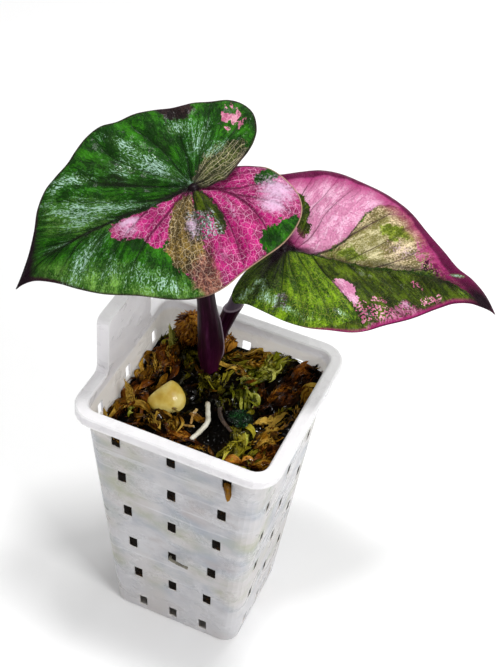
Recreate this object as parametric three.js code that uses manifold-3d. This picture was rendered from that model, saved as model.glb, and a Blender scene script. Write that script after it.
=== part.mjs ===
// Potted alocasia: two variegated leaves growing from wet moss in a square slotted basket.
// Millimetres, +Z up. The origin is the centre of the basket's underside, and +Y points to its back.
import * as THREE from 'three';
import Module from 'manifold-3d';
import { mergeVertices } from 'three/addons/utils/BufferGeometryUtils.js';

// Basket
const RIM = { x: 37, y: 35.95, r: 9, z: 111.5 };
const RIM_WIDTH = 4.6;
const SKIRT_DROP = 3.8;
const SKIN = 0.9;
const WALL_TOP = { x: 33.35, y: 32.25, r: 6.5, z: 107.7 };
const WALL_FOOT = { x: 25.1, y: 22.2, r: 5.5, z: 0.8 };
const FLOOR = 1.6;
const EDGE = 0.5;
const CORNER_STEPS = 5;
const RIM_ROOT = 0.2;

// Slots through the walls and the floor
const SLOT = { wide: 3.3, tall: 5.9, through: 8 };
const SLOT_ROWS = 6;
const SLOT_TOP = 100.6;
const SLOT_PITCH = 18.9;
const SLOT_COLUMN = 20.4;
const SLOT_COLUMN_TAPER = 1.6;
const FLOOR_SLOT = { x: 15, y: 12 };

// Label tab standing on the left side of the rim
const TAB = { front: -13.5, back: 18, top: 134.7, corner: 3, fillet: 4, web: 1.6 };
const CURVE_STEPS = 4;

// Moss
const MOSS_FLOOR = 12.5;
const MOSS_LEVEL = 99;
const MOSS_SLOPE = { x: 0.09, y: 0.06 };
const MOSS_BUMP = 0.8;
const MOSS_GRAIN = { across: 14, down: 4 };
const WALL_CLEARANCE = 0.4;
const GAP = 0.3;
const WELD = 1e-4;

// Plant
const STEM_BASE = { x: -7.5, y: 17.5, bottom: 70, top: 86, radius: 8 };
const BLADE_THICKNESS = 0.8;
const BLADE_HEART = new THREE.Vector3(5, 0, 0);
const EDGE_STEPS = 40;
const FACE_STEPS = 12;
const EDGE_FULLNESS = 2.2;
const ROOM_ABOVE_BLADE = 6;
const ROOT_RADIUS = 0.85;
const ROOT_START = STEM_BASE.bottom + 5;
const STALK_SEAT = 0.6;

// Sides and steps of the round pieces
const ROOT_GRAIN = [6, 14];
const STALK_GRAIN = [12, 22];
const TUFT_GRAIN = [6, 6];
const LUMP_GRAIN = [14, 10];

const wasm = await Module();
wasm.setup();

const point = (x, y, z) => new THREE.Vector3(x, y, z);
const lerp = THREE.MathUtils.lerp;

// Merged, gap-free copy of a geometry with its faces pointing out.
function closed(geometry) {
  const bare = geometry.clone();
  bare.deleteAttribute('normal');
  bare.deleteAttribute('uv');
  const merged = mergeVertices(bare, WELD);
  const corners = merged.index.array;
  const at = (i) => new THREE.Vector3().fromBufferAttribute(merged.attributes.position, i);
  const kept = [];
  let volume = 0;
  for (let i = 0; i < corners.length; i += 3) {
    const [a, b, c] = [corners[i], corners[i + 1], corners[i + 2]];
    if (a !== b && b !== c && c !== a) {
      kept.push([a, b, c]);
      volume += at(a).dot(at(b).cross(at(c)));
    }
  }
  merged.setIndex(kept.flatMap(([a, b, c]) => (volume < 0 ? [a, c, b] : [a, b, c])));
  return merged;
}

function toSolid(geometry) {
  const shape = closed(geometry);
  const mesh = new wasm.Mesh({
    numProp: 3,
    vertProperties: new Float32Array(shape.attributes.position.array),
    triVerts: new Uint32Array(shape.index.array),
  });
  return new wasm.Manifold(mesh);
}

function toGeometry(solid) {
  const mesh = solid.getMesh();
  const geometry = new THREE.BufferGeometry();
  geometry.setAttribute('position', new THREE.BufferAttribute(mesh.vertProperties, 3));
  geometry.setIndex(new THREE.BufferAttribute(mesh.triVerts, 1));
  return geometry;
}

function cutAll(solid, cutters) {
  return cutters.reduce((rest, cutter) => rest.subtract(cutter), solid);
}

// A point on a rounded rectangle, counted by corner steps.
function squarePoint({ x, y, r }, step) {
  const perCorner = CORNER_STEPS + 1;
  const index = step % (4 * perCorner);
  const corner = Math.floor(index / perCorner);
  const angle = ((corner + (index % perCorner) / CORNER_STEPS) * Math.PI) / 2;
  const sideX = corner === 0 || corner === 3 ? 1 : -1;
  const sideY = corner < 2 ? 1 : -1;
  return [sideX * (x - r) + r * Math.cos(angle), sideY * (y - r) + r * Math.sin(angle)];
}

// A lathe whose turns are rounded rectangles, one section after another from axis to axis.
function squareLathe(sections) {
  const profile = sections.map(({ x, z }) => new THREE.Vector2(x, z));
  const turns = 4 * (CORNER_STEPS + 1);
  const geometry = new THREE.LatheGeometry(profile, turns);
  const position = geometry.attributes.position;
  for (let i = 0; i < position.count; i += 1) {
    const section = sections[i % sections.length];
    const [x, y] = section.x === 0 ? [0, 0] : squarePoint(section, Math.floor(i / sections.length));
    position.setXYZ(i, x, y, section.z);
  }
  return geometry;
}

// The wall's outer section at a height, moved inwards by a skin thickness.
function wallSection(z, inwards = 0) {
  const t = z / WALL_TOP.z;
  return {
    x: lerp(WALL_FOOT.x, WALL_TOP.x, t) - inwards,
    y: lerp(WALL_FOOT.y, WALL_TOP.y, t) - inwards,
    r: lerp(WALL_FOOT.r, WALL_TOP.r, t) - inwards,
    z,
  };
}

function grown(section, by, z) {
  return { x: section.x + by, y: section.y + by, r: section.r + by, z };
}

// A round stalk or root bent along a smooth curve, with its radius given along its length.
function stalk(points, radii, sides, steps, extra) {
  const curve = new THREE.CatmullRomCurve3(points.map((p) => point(...p)), false, 'centripetal');
  const frames = curve.computeFrenetFrames(steps, false);
  const geometry = new THREE.CylinderGeometry(1, 1, 1, sides, steps);
  const position = geometry.attributes.position;
  for (let i = 0; i < position.count; i += 1) {
    const t = position.getY(i) + 0.5;
    const ring = Math.round(t * steps);
    const place = t * (radii.length - 1);
    const low = Math.min(Math.floor(place), radii.length - 2);
    const radius = lerp(radii[low], radii[low + 1], place - low) + extra;
    const out = curve.getPointAt(ring / steps);
    out.addScaledVector(frames.normals[ring], position.getX(i) * radius);
    out.addScaledVector(frames.binormals[ring], position.getZ(i) * radius);
    position.setXYZ(i, out.x, out.y, out.z);
  }
  return geometry;
}

// A rounded lump: a sphere scaled to three half sizes about its centre.
function lump([x, y, z], [a, b, c], extra) {
  const geometry = new THREE.SphereGeometry(1, ...LUMP_GRAIN);
  geometry.scale(a + extra, b + extra, c + extra);
  geometry.translate(x, y, z);
  return geometry;
}

// Height of the moss: lowest at the front left, highest at the back right.
function mossTop(x, y) {
  const slope = MOSS_SLOPE.x * x + MOSS_SLOPE.y * y;
  const bumps = Math.sin(0.42 * x + 1) * Math.cos(0.38 * y) + 0.5 * Math.sin(0.9 * x - 0.7 * y);
  return MOSS_LEVEL + slope + MOSS_BUMP * bumps;
}

// Basket: a square cup with a flanged rim, a skirt, a label tab and rows of slots.
function basketCup() {
  const underRim = RIM.z - SKIN;
  const skirtFoot = RIM.z - SKIRT_DROP;
  const lip = grown(RIM, -RIM_WIDTH, RIM.z);
  return squareLathe([
    { x: 0, z: 0 },
    grown(WALL_FOOT, -EDGE, 0),
    WALL_FOOT,
    WALL_TOP,
    grown(WALL_TOP, RIM_ROOT, underRim),
    grown(RIM, -SKIN, underRim),
    grown(RIM, -SKIN, skirtFoot),
    grown(RIM, 0, skirtFoot),
    grown(RIM, 0, RIM.z - EDGE),
    grown(RIM, -EDGE, RIM.z),
    grown(lip, EDGE, RIM.z),
    grown(lip, 0, RIM.z - EDGE),
    grown(WALL_TOP, -SKIN, WALL_TOP.z),
    wallSection(FLOOR, SKIN),
    { x: 0, z: FLOOR },
  ]);
}

function slotCutters() {
  const cutters = [];
  for (let row = 0; row < SLOT_ROWS; row += 1) {
    const z = SLOT_TOP - SLOT_PITCH * row;
    const wall = wallSection(z, SKIN / 2);
    const column = SLOT_COLUMN - SLOT_COLUMN_TAPER * row;
    for (const side of [-column, 0, column]) {
      for (const face of [-1, 1]) {
        const across = new THREE.BoxGeometry(SLOT.wide, SLOT.through, SLOT.tall);
        cutters.push(toSolid(across.translate(side, face * wall.y, z)));
        const along = new THREE.BoxGeometry(SLOT.through, SLOT.wide, SLOT.tall);
        cutters.push(toSolid(along.translate(face * wall.x, side, z)));
      }
    }
  }
  for (const x of [-FLOOR_SLOT.x, 0, FLOOR_SLOT.x]) {
    for (const y of [-FLOOR_SLOT.y, FLOOR_SLOT.y]) {
      const box = new THREE.BoxGeometry(SLOT.wide, SLOT.tall, SLOT.through);
      cutters.push(toSolid(box.translate(x, y, FLOOR / 2)));
    }
  }
  return cutters;
}

// The tab's outline in the plane of the rim's left side, with y across and z up.
function tabOutline(inset, foot) {
  const { front, back, top, corner, fillet } = TAB;
  const r = corner - inset / 2;
  const shape = new THREE.Shape();
  shape.moveTo(front - fillet + inset, foot);
  shape.quadraticCurveTo(front + inset, foot, front + inset, foot + fillet);
  shape.lineTo(front + inset, top - inset - r);
  shape.quadraticCurveTo(front + inset, top - inset, front + inset + r, top - inset);
  shape.lineTo(back - inset - r, top - inset);
  shape.quadraticCurveTo(back - inset, top - inset, back - inset, top - inset - r);
  shape.lineTo(back - inset, foot + fillet);
  shape.quadraticCurveTo(back - inset, foot, back + fillet - inset, foot);
  shape.closePath();
  return shape;
}

function tabPlate(inset, foot, from, to) {
  const geometry = new THREE.ExtrudeGeometry(tabOutline(inset, foot), {
    depth: to - from,
    bevelEnabled: false,
    curveSegments: CURVE_STEPS,
  });
  const axes = new THREE.Matrix4().makeBasis(point(0, 1, 0), point(0, 0, 1), point(1, 0, 0));
  return toSolid(geometry.applyMatrix4(axes).translate(from, 0, 0));
}

function makeBasket() {
  const inner = -RIM.x + RIM_WIDTH;
  const tab = tabPlate(0, RIM.z - SKIN, -RIM.x, inner);
  const recess = tabPlate(TAB.web, RIM.z + TAB.web, -RIM.x - TAB.web, inner - TAB.web);
  const cup = toSolid(basketCup()).add(tab).subtract(recess);
  return cutAll(cup, slotCutters());
}

// Blades: each edge runs in flat leaf millimetres, along the midrib and across to its far side.
const BLADES = {
  left: {
    root: point(-15.5, 10, 181),
    heading: 227.5,
    droop: 16.5,
    roll: 31,
    farSide: -1,
    fall: 10,
    hook: 4,
    lobeFall: 2,
    length: 70,
    lobe: 28,
    far: { rise: 0.2, arch: 0.0055 },
    near: { rise: 0.2, arch: 0.0055 },
    farEdge: [
      [-3.6, 0], [-8, 0.5], [-13, 1.4], [-18.5, 3], [-23, 5.5], [-26.5, 9], [-28, 14], [-26.5, 18],
      [-23, 21], [-12, 25], [0, 27.5], [6.5, 29], [12.5, 29.3], [17.5, 30.2], [23, 29], [32, 23.5],
      [42, 19.5], [46.5, 15], [50.5, 9.5], [55, 4], [59.5, 0], [63.5, -3.5],
    ],
    nearEdge: [
      [63.5, -3.5], [60.5, -3.6], [57, -4.5], [51, -9], [46, -13.5], [40, -19], [30.5, -24.5],
      [21.5, -30], [10, -34], [-1.5, -32.2], [-16, -29.7], [-25.5, -24.5], [-29.2, -16.5],
      [-26.5, -7.5], [-20.5, -2.2], [-8, -0.5], [-3.6, 0],
    ],
  },
  right: {
    root: point(12, 25.5, 155),
    heading: 14.5,
    droop: 6,
    roll: 22,
    farSide: 1,
    fall: 8,
    hook: 6,
    lobeFall: 4,
    length: 76,
    lobe: 30,
    far: { rise: 0.4, arch: 0.01 },
    near: { rise: 0.5, arch: 0.009 },
    farEdge: [
      [-3.6, 0], [-7, 0.8], [-12, 2.5], [-17, 5.5], [-20, 10], [-19, 17], [-13, 23.5], [-6, 27],
      [0, 30], [6, 32.7], [13.5, 33], [22, 31.5], [29.5, 29.8], [38, 25], [45.5, 19.4],
      [52.5, 14.2], [58, 11], [64, 9.4], [70.5, 5.9], [75, 2],
    ],
    nearEdge: [
      [75, 2], [72.5, 1.6], [68.5, 1.3], [64, 0.6], [59, -1.5], [54, -6], [45.5, -13.7], [37, -20],
      [26.5, -26], [19, -27.5], [8, -28.5], [-1.5, -27], [-8, -25.7], [-12, -26], [-13, -23],
      [-12.5, -18], [-10, -12], [-6.5, -5], [-3.6, 0],
    ],
  },
};

// Unit directions of a blade: along its midrib, across to its far side, and up out of its face.
function bladeAxes({ heading, droop, roll, farSide }) {
  const [h, d, r] = [heading, droop, roll].map(THREE.MathUtils.degToRad);
  const along = point(Math.cos(h) * Math.cos(d), Math.sin(h) * Math.cos(d), -Math.sin(d));
  const level = point(-Math.sin(h), Math.cos(h), 0).multiplyScalar(farSide);
  const up = along.clone().cross(level).multiplyScalar(farSide);
  const across = level.clone().multiplyScalar(Math.cos(r)).addScaledVector(up, Math.sin(r));
  const out = up.clone().multiplyScalar(Math.cos(r)).addScaledVector(level, -Math.sin(r));
  return { along, across, out };
}

// A blade's face: it falls towards its tip and lobes, and rises from the midrib before it arches over.
function bladePoint(blade, axes, s, w) {
  const t = Math.max(s, 0) / blade.length;
  const back = Math.max(-s, 0) / blade.lobe;
  const side = w > 0 ? blade.far : blade.near;
  const soft = Math.hypot(w, 3) - 3;
  const fall = blade.fall * t ** 2 + blade.hook * t ** 5 + blade.lobeFall * back ** 2;
  const height = side.rise * soft - side.arch * w * w - fall;
  const place = blade.root.clone().addScaledVector(axes.along, s);
  return place.addScaledVector(axes.across, w).addScaledVector(axes.out, height);
}

// A blade is a flattened sphere whose rim follows the leaf's outline, thick below and above its face.
function makeBlade(blade, below = BLADE_THICKNESS / 2, above = BLADE_THICKNESS / 2) {
  const axes = bladeAxes(blade);
  const edges = [blade.farEdge, blade.nearEdge].map((edge) => {
    const places = edge.map(([s, w]) => point(s, w, 0));
    return new THREE.CatmullRomCurve3(places, false, 'centripetal');
  });
  const geometry = new THREE.SphereGeometry(1, 2 * EDGE_STEPS, FACE_STEPS);
  const { position, uv } = geometry.attributes;
  for (let i = 0; i < position.count; i += 1) {
    const step = Math.max(0, Math.round(uv.getX(i) * 2 * EDGE_STEPS)) % (2 * EDGE_STEPS);
    const side = Math.floor(step / EDGE_STEPS);
    const edge = edges[side].getPointAt(step / EDGE_STEPS - side);
    const height = position.getY(i);
    const place = BLADE_HEART.clone().lerp(edge, Math.sqrt(Math.max(0, 1 - height * height)));
    const lift = Math.min(1, EDGE_FULLNESS * Math.abs(height)) * (height > 0 ? above : -below);
    const out = bladePoint(blade, axes, place.x, place.y).addScaledVector(axes.out, lift);
    position.setXYZ(i, out.x, out.y, out.z);
  }
  return toSolid(geometry);
}

// Space that a blade and its clearance take above the top of its stalk.
function bladeRoom(blade) {
  return makeBlade(blade, BLADE_THICKNESS / 2 + GAP, ROOM_ABOVE_BLADE);
}

// Stalks: places along the middle from the stem base to the blade, and radii from foot to top.
const STALKS = {
  left: {
    places: [
      [-7.6, 16.2, STEM_BASE.top + STALK_SEAT], [-7.6, 15.7, 98], [-7.6, 14.4, 113], [-8.2, 13.3, 123],
      [-9.5, 12.6, 134.6], [-12.5, 12.5, 153], BLADES.left.root.toArray(),
    ],
    radii: [2.4, 2.9, 4.4, 3.9, 3.2, 2.9, 2.7, 2.4, 2],
  },
  right: {
    places: [
      [-9.4, 21.1, STEM_BASE.top + STALK_SEAT], [-10.2, 22.2, 99], [-8.2, 23.4, 109.4],
      [-4.9, 24.6, 120.4], [0.8, 25.4, 138.8], [6.4, 25.8, 147], BLADES.right.root.toArray(),
    ],
    radii: [2.2, 2.6, 2.7, 2.6, 2.5, 2.3, 2],
  },
};

// Height of a root's middle that lies half sunk in the moss.
const onMoss = (x, y, above = 0.35) => [x, y, mossTop(x, y) + above];
const SLOT_ROOT_WALL = { y: -26.4, z: 44.4 };

const ROOTS = {
  root_deep_left: { places: [[-11, 16, ROOT_START], [-19, 9, 64], [-18, -6, 44], [-11, -13, 28]] },
  root_deep_right: { places: [[-4, 16, ROOT_START], [9, 11, 63], [17, 0, 46], [13, -9, 30]] },
  root_deep_back: { places: [[-6.5, 21, ROOT_START], [-2, 25.5, 62], [3, 20, 42], [6, 15, 25]] },
  root_slot: {
    places: [
      [-7, 14, ROOT_START], [-4, -2, 66], [-1.4, -16, 54],
      [-0.5, SLOT_ROOT_WALL.y + 2, SLOT_ROOT_WALL.z],
      [0, SLOT_ROOT_WALL.y - 1.3, SLOT_ROOT_WALL.z + 0.6],
      [3.6, SLOT_ROOT_WALL.y - 2.3, SLOT_ROOT_WALL.z + 0.9],
      [7.3, SLOT_ROOT_WALL.y - 2.4, SLOT_ROOT_WALL.z + 0.6],
    ],
    radii: [ROOT_RADIUS, 0.7, 0.45],
  },
  root_white: {
    places: [
      onMoss(-1.6, 1.4, -1.2), onMoss(-0.6, -1), onMoss(1.2, -4.5), onMoss(2.7, -8.3, 0.6),
      onMoss(2.2, -12.6, 0.6), onMoss(1.2, -17.6),
    ],
  },
  root_brown: {
    places: [onMoss(3.4, 2.2, -1), onMoss(4.2, -1.5), onMoss(7, -5.4), onMoss(11.7, -8.8)],
    radii: [0.8, 0.7, 0.6],
  },
  rootlet_tan_a: {
    places: [onMoss(-3.4, -4), onMoss(-3.2, -7), onMoss(-2.6, -10.2)],
    radii: [0.5, 0.5],
  },
  rootlet_tan_b: {
    places: [onMoss(-7.6, -12.2), onMoss(-4, -11.9), onMoss(-0.9, -11.6)],
    radii: [0.5, 0.5],
  },
};

const SLOT_STRIP = {
  places: [
    [20.2, -27.6, 100.4], [20.6, -31.2, 101], [21.1, -32.9, 99.8], [21.5, -33, 97],
    [21.7, -32.9, 93.8],
  ],
  radii: [1.2, 1.2, 1.1, 0.4],
};

const TUFTS = {
  moss_tuft_left_front: {
    places: [onMoss(-27, -23, -4), onMoss(-27.8, -24, 4), onMoss(-28.4, -24.4, 11)],
    radii: [1.4, 1.4, 0.5],
  },
  moss_tuft_left: {
    places: [onMoss(-25, -10, -4), onMoss(-26.4, -9.6, 3), onMoss(-28.6, -8.6, 9)],
    radii: [1.3, 1.2, 0.5],
  },
  moss_tuft_back: {
    places: [onMoss(-24.5, 20, -4), onMoss(-25.2, 20.4, 4), onMoss(-25.8, 20, 11)],
    radii: [1.6, 1.5, 0.5],
  },
};

const LUMPS = {
  moss_lump_back: { at: [-19.8, 25, mossTop(-19.8, 25) + 5.6], half: [5, 4.4, 8.6] },
  algae_cushion: { at: [13.4, -3.4, mossTop(13.4, -3.4) + 0.5], half: [4.6, 4.2, 2] },
  pale_corm: { at: [-14.4, -4, mossTop(-14.4, -4) + 2.6], half: [6.9, 5.8, 5] },
};

function stalkSolid({ places, radii = [ROOT_RADIUS, ROOT_RADIUS] }, sides, steps, extra = 0) {
  return toSolid(stalk(places, radii, sides, steps, extra));
}

function lumpSolid({ at, half }, extra = 0) {
  return toSolid(lump(at, half, extra));
}

// The buried stem: a short knob that the stalks and the roots grow from.
function stemBase(extra = 0) {
  const { x, y, bottom, top, radius } = STEM_BASE;
  const wide = radius + extra;
  const middle = (bottom + top) / 2;
  const profile = [
    [0, bottom - extra], [wide * 0.6, bottom - extra], [wide, middle - 2],
    [wide * 0.95, middle + 3], [wide * 0.8, top + extra], [0, top + extra],
  ];
  const geometry = new THREE.LatheGeometry(profile.map(([r, z]) => new THREE.Vector2(r, z)), 16);
  geometry.rotateX(Math.PI / 2).translate(x, y, 0);
  return toSolid(geometry);
}

// Moss body: it fills the basket from just above the floor to its lumpy top, clear of the walls.
function mossBlock() {
  const { across, down } = MOSS_GRAIN;
  const geometry = new THREE.BoxGeometry(2, 2, 1, across, across, down);
  const position = geometry.attributes.position;
  for (let i = 0; i < position.count; i += 1) {
    const [u, v, t] = [position.getX(i), position.getY(i), position.getZ(i) + 0.5];
    const top = mossTop(u * WALL_TOP.x, v * WALL_TOP.y);
    const z = lerp(MOSS_FLOOR + Math.sin(4 * u) * Math.cos(3 * v), top, t);
    const wall = wallSection(z, SKIN + WALL_CLEARANCE);
    const corner = point(Math.abs(u) * wall.x - wall.x + wall.r, Math.abs(v) * wall.y - wall.y + wall.r, 0);
    const over = corner.x > 0 && corner.y > 0 ? Math.max(1, corner.length() / wall.r) : 1;
    const x = Math.sign(u) * (over > 1 ? wall.x - wall.r + corner.x / over : Math.abs(u) * wall.x);
    const y = Math.sign(v) * (over > 1 ? wall.y - wall.r + corner.y / over : Math.abs(v) * wall.y);
    position.setXYZ(i, x, y, z);
  }
  return toSolid(geometry);
}

const FINISHES = {
  plastic: { color: 0xf1efee, roughness: 0.35, metalness: 0 },
  moss: { color: 0x6b4a12, roughness: 0.45, metalness: 0 },
  greenMoss: { color: 0x7a8420, roughness: 0.45, metalness: 0 },
  algae: { color: 0x143018, roughness: 0.3, metalness: 0 },
  corm: { color: 0xdccf86, roughness: 0.4, metalness: 0 },
  whiteRoot: { color: 0xe9e2c8, roughness: 0.45, metalness: 0 },
  brownRoot: { color: 0x4a3020, roughness: 0.5, metalness: 0 },
  stalk: { color: 0x3a1230, roughness: 0.3, metalness: 0 },
  leftBlade: { color: 0x3f6a1f, roughness: 0.25, metalness: 0 },
  rightBlade: { color: 0xc77f9c, roughness: 0.3, metalness: 0 },
};

const plant = new THREE.Group();

function place(name, solid, finish) {
  const mesh = new THREE.Mesh(toGeometry(solid), new THREE.MeshStandardMaterial(FINISHES[finish]));
  mesh.name = name;
  plant.add(mesh);
}

const grow = (part, grain, extra = 0) => stalkSolid(part, ...grain, extra);

const leftStalk = grow(STALKS.left, STALK_GRAIN).subtract(bladeRoom(BLADES.left));
const rightStalk = grow(STALKS.right, STALK_GRAIN).subtract(bladeRoom(BLADES.right));
const leftStalkRoom = grow(STALKS.left, STALK_GRAIN, GAP);
const stemRoom = stemBase(GAP);
const rootNames = Object.keys(ROOTS);
const tuftNames = Object.keys(TUFTS);
const lumpNames = Object.keys(LUMPS);

place('basket', makeBasket(), 'plastic');

const buried = [
  stemRoom,
  leftStalkRoom,
  grow(STALKS.right, STALK_GRAIN, GAP),
  grow(SLOT_STRIP, TUFT_GRAIN, GAP),
  ...rootNames.map((name) => grow(ROOTS[name], ROOT_GRAIN, GAP)),
  ...tuftNames.map((name) => grow(TUFTS[name], TUFT_GRAIN, GAP)),
  ...lumpNames.map((name) => lumpSolid(LUMPS[name], GAP)),
];
place('moss_bed', cutAll(mossBlock(), buried), 'moss');

place('stem_base', stemBase(), 'brownRoot');
for (const name of rootNames) {
  const solid = grow(ROOTS[name], ROOT_GRAIN).subtract(stemRoom);
  place(name, solid, name === 'root_white' ? 'whiteRoot' : 'brownRoot');
}
for (const name of tuftNames) {
  place(name, grow(TUFTS[name], TUFT_GRAIN), 'greenMoss');
}
place('slot_moss_strip', grow(SLOT_STRIP, TUFT_GRAIN), 'moss');
place('moss_lump_back', lumpSolid(LUMPS.moss_lump_back), 'moss');
place('algae_cushion', lumpSolid(LUMPS.algae_cushion), 'algae');
place('pale_corm', lumpSolid(LUMPS.pale_corm), 'corm');
place('petiole_left', leftStalk, 'stalk');
place('petiole_right', rightStalk.subtract(leftStalkRoom), 'stalk');
place('blade_left', makeBlade(BLADES.left), 'leftBlade');
place('blade_right', makeBlade(BLADES.right), 'rightBlade');

export default plant;
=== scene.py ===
"""Looks of a potted alocasia: two variegated leaves over wet moss in a square slotted basket.

Sizes are written in millimetres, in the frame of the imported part: +Z up, +Y to the back of the
basket, origin at the centre of its underside. Meshes are handed to Blender in metres.
"""

import logging
import math
from collections.abc import Callable, Sequence
from dataclasses import dataclass, field
from enum import Enum

import bmesh
import bpy
import numpy as np
from mathutils import Matrix, Vector, noise
from mathutils.geometry import delaunay_2d_cdt
from mathutils.kdtree import KDTree


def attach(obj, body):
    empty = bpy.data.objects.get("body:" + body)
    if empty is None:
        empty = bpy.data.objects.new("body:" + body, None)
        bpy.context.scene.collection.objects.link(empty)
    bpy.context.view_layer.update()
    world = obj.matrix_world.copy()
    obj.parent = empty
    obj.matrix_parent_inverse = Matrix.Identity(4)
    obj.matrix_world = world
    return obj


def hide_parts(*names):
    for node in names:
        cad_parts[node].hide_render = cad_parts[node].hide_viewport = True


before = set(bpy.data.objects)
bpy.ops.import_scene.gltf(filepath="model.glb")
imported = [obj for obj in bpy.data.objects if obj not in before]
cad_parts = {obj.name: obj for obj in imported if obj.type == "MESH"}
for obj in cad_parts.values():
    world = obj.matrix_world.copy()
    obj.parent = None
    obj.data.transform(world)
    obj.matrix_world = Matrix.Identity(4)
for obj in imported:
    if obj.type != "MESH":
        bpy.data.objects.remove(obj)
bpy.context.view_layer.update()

Array = np.ndarray
Piece = bpy.types.Object
Socket = bpy.types.NodeSocket
Place = tuple[float, float, float]
Points = Sequence[Sequence[float]]
Colour = tuple[float, float, float, float]

MM = 0.001
SEED = 7
TINY = 1e-9
SMOOTH = {"interpolation_type": "SMOOTHSTEP"}
log = logging.getLogger("alocasia")


# Shared tools


def tint(code: str, by: float = 1.0) -> Colour:
    """Turn an sRGB hex colour into Blender's linear colour.

    Args:
        code: The colour as "#rrggbb".
        by: A factor that makes it darker or lighter.

    Returns:
        Linear red, green, blue and alpha.
    """
    parts = [int(code[i : i + 2], 16) / 255 for i in (1, 3, 5)]
    linear = [c / 12.92 if c <= 0.04045 else ((c + 0.055) / 1.055) ** 2.4 for c in parts]
    return (*(min(1.0, c * by) for c in linear), 1.0)


def unit(vectors: Array, guard: float = 0.0) -> Array:
    """Give vectors the length 1; a small guard keeps those without a length from failing."""
    return vectors / (np.linalg.norm(vectors, axis=-1, keepdims=True) + guard)


def smooth_line(points: Points, step: float) -> Array:
    """Run a centripetal Catmull-Rom curve through points and sample it evenly.

    Args:
        points: The places that the curve passes, in two or three dimensions.
        step: The distance between samples.

    Returns:
        The samples, one row each, with both ends kept.
    """
    p = np.array(points, float)
    p = np.vstack([2 * p[0] - p[1], p, 2 * p[-1] - p[-2]])
    knots = np.concatenate([[0], np.cumsum(np.linalg.norm(np.diff(p, axis=0), axis=1) ** 0.5)])
    dense = []
    for i in range(1, len(p) - 2):
        t0, t1, t2, t3 = knots[i - 1 : i + 3]
        t = np.linspace(t1, t2, 24, endpoint=False)[:, None]
        a1 = (t1 - t) / (t1 - t0) * p[i - 1] + (t - t0) / (t1 - t0) * p[i]
        a2 = (t2 - t) / (t2 - t1) * p[i] + (t - t1) / (t2 - t1) * p[i + 1]
        a3 = (t3 - t) / (t3 - t2) * p[i + 1] + (t - t2) / (t3 - t2) * p[i + 2]
        b1 = (t2 - t) / (t2 - t0) * a1 + (t - t0) / (t2 - t0) * a2
        b2 = (t3 - t) / (t3 - t1) * a2 + (t - t1) / (t3 - t1) * a3
        dense.append((t2 - t) / (t2 - t1) * b1 + (t - t1) / (t2 - t1) * b2)
    dense = np.vstack([*dense, p[-2][None]])
    length = np.concatenate([[0], np.cumsum(np.linalg.norm(np.diff(dense, axis=0), axis=1))])
    wanted = np.linspace(0, length[-1], max(2, round(length[-1] / step) + 1))
    return np.stack([np.interp(wanted, length, dense[:, k]) for k in range(dense.shape[1])], 1)


def line_distance(points: Array, line: Array) -> tuple[Array, ...]:
    """Measure flat points against an open line.

    Args:
        points: Flat points, one row each.
        line: The line's points in order.

    Returns:
        Each point's distance, how far along the line its nearest place is from 0 to 1, and its
        side, which is 1 to the left of the line and -1 to the right.
    """
    best = np.full(len(points), np.inf)
    along = np.zeros(len(points))
    side = np.ones(len(points))
    for i in range(len(line) - 1):
        run = line[i + 1] - line[i]
        rel = points - line[i]
        t = np.clip(rel @ run / (run @ run), 0, 1)
        away = rel - t[:, None] * run
        d = np.einsum("ij,ij->i", away, away)
        nearer = d < best
        best[nearer] = d[nearer]
        along[nearer] = (i + t[nearer]) / (len(line) - 1)
        cross = run[0] * rel[:, 1] - run[1] * rel[:, 0]
        side[nearer] = np.where(cross[nearer] >= 0, 1, -1)
    return np.sqrt(best), along, side


def inside_distance(points: Array, outline: Points) -> Array:
    """Give each flat point's distance to a closed outline, positive inside it."""
    loop = np.array(outline, float)
    loop = np.vstack([loop, loop[:1]])
    distance = line_distance(points, loop)[0]
    inside = np.zeros(len(points), bool)
    for a, b in zip(loop[:-1], loop[1:]):
        spans = (a[1] > points[:, 1]) != (b[1] > points[:, 1])
        rise = b[1] - a[1] if b[1] != a[1] else 1e-12
        cross_at = a[0] + (points[:, 1] - a[1]) * (b[0] - a[0]) / rise
        inside ^= spans & (points[:, 0] < cross_at)
    return np.where(inside, distance, -distance)


def ease(x: Array | float, low: float, high: float) -> Array:
    """Rise smoothly from 0 at low to 1 at high."""
    t = np.clip((np.asarray(x, float) - low) / (high - low), 0, 1)
    return t * t * (3 - 2 * t)


def ripple(points: Array, scale: float, seed: float) -> Array:
    """Give smooth noise of about -1 to 1 at each point, with lumps about scale across."""
    pad = np.zeros((len(points), 3))
    pad[:, : points.shape[1]] = points / scale
    return np.array([noise.noise(Vector(p) + Vector((seed, 1.7 * seed, 0.3))) for p in pad])


def neighbours(points: Array) -> KDTree:
    """Sort flat points so that those near a place are found fast."""
    tree = KDTree(len(points))
    for i, (x, y) in enumerate(points):
        tree.insert((x, y, 0), i)
    tree.balance()
    return tree


def ball(subdivisions: int) -> tuple[Array, Array]:
    """Give the vertices and the triangles of a ball of radius 1."""
    shape = bmesh.new()
    bmesh.ops.create_icosphere(shape, subdivisions=subdivisions, radius=1.0)
    places = np.array([v.co[:] for v in shape.verts])
    faces = np.array([[v.index for v in face.verts] for face in shape.faces])
    shape.free()
    return places, faces


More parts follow.
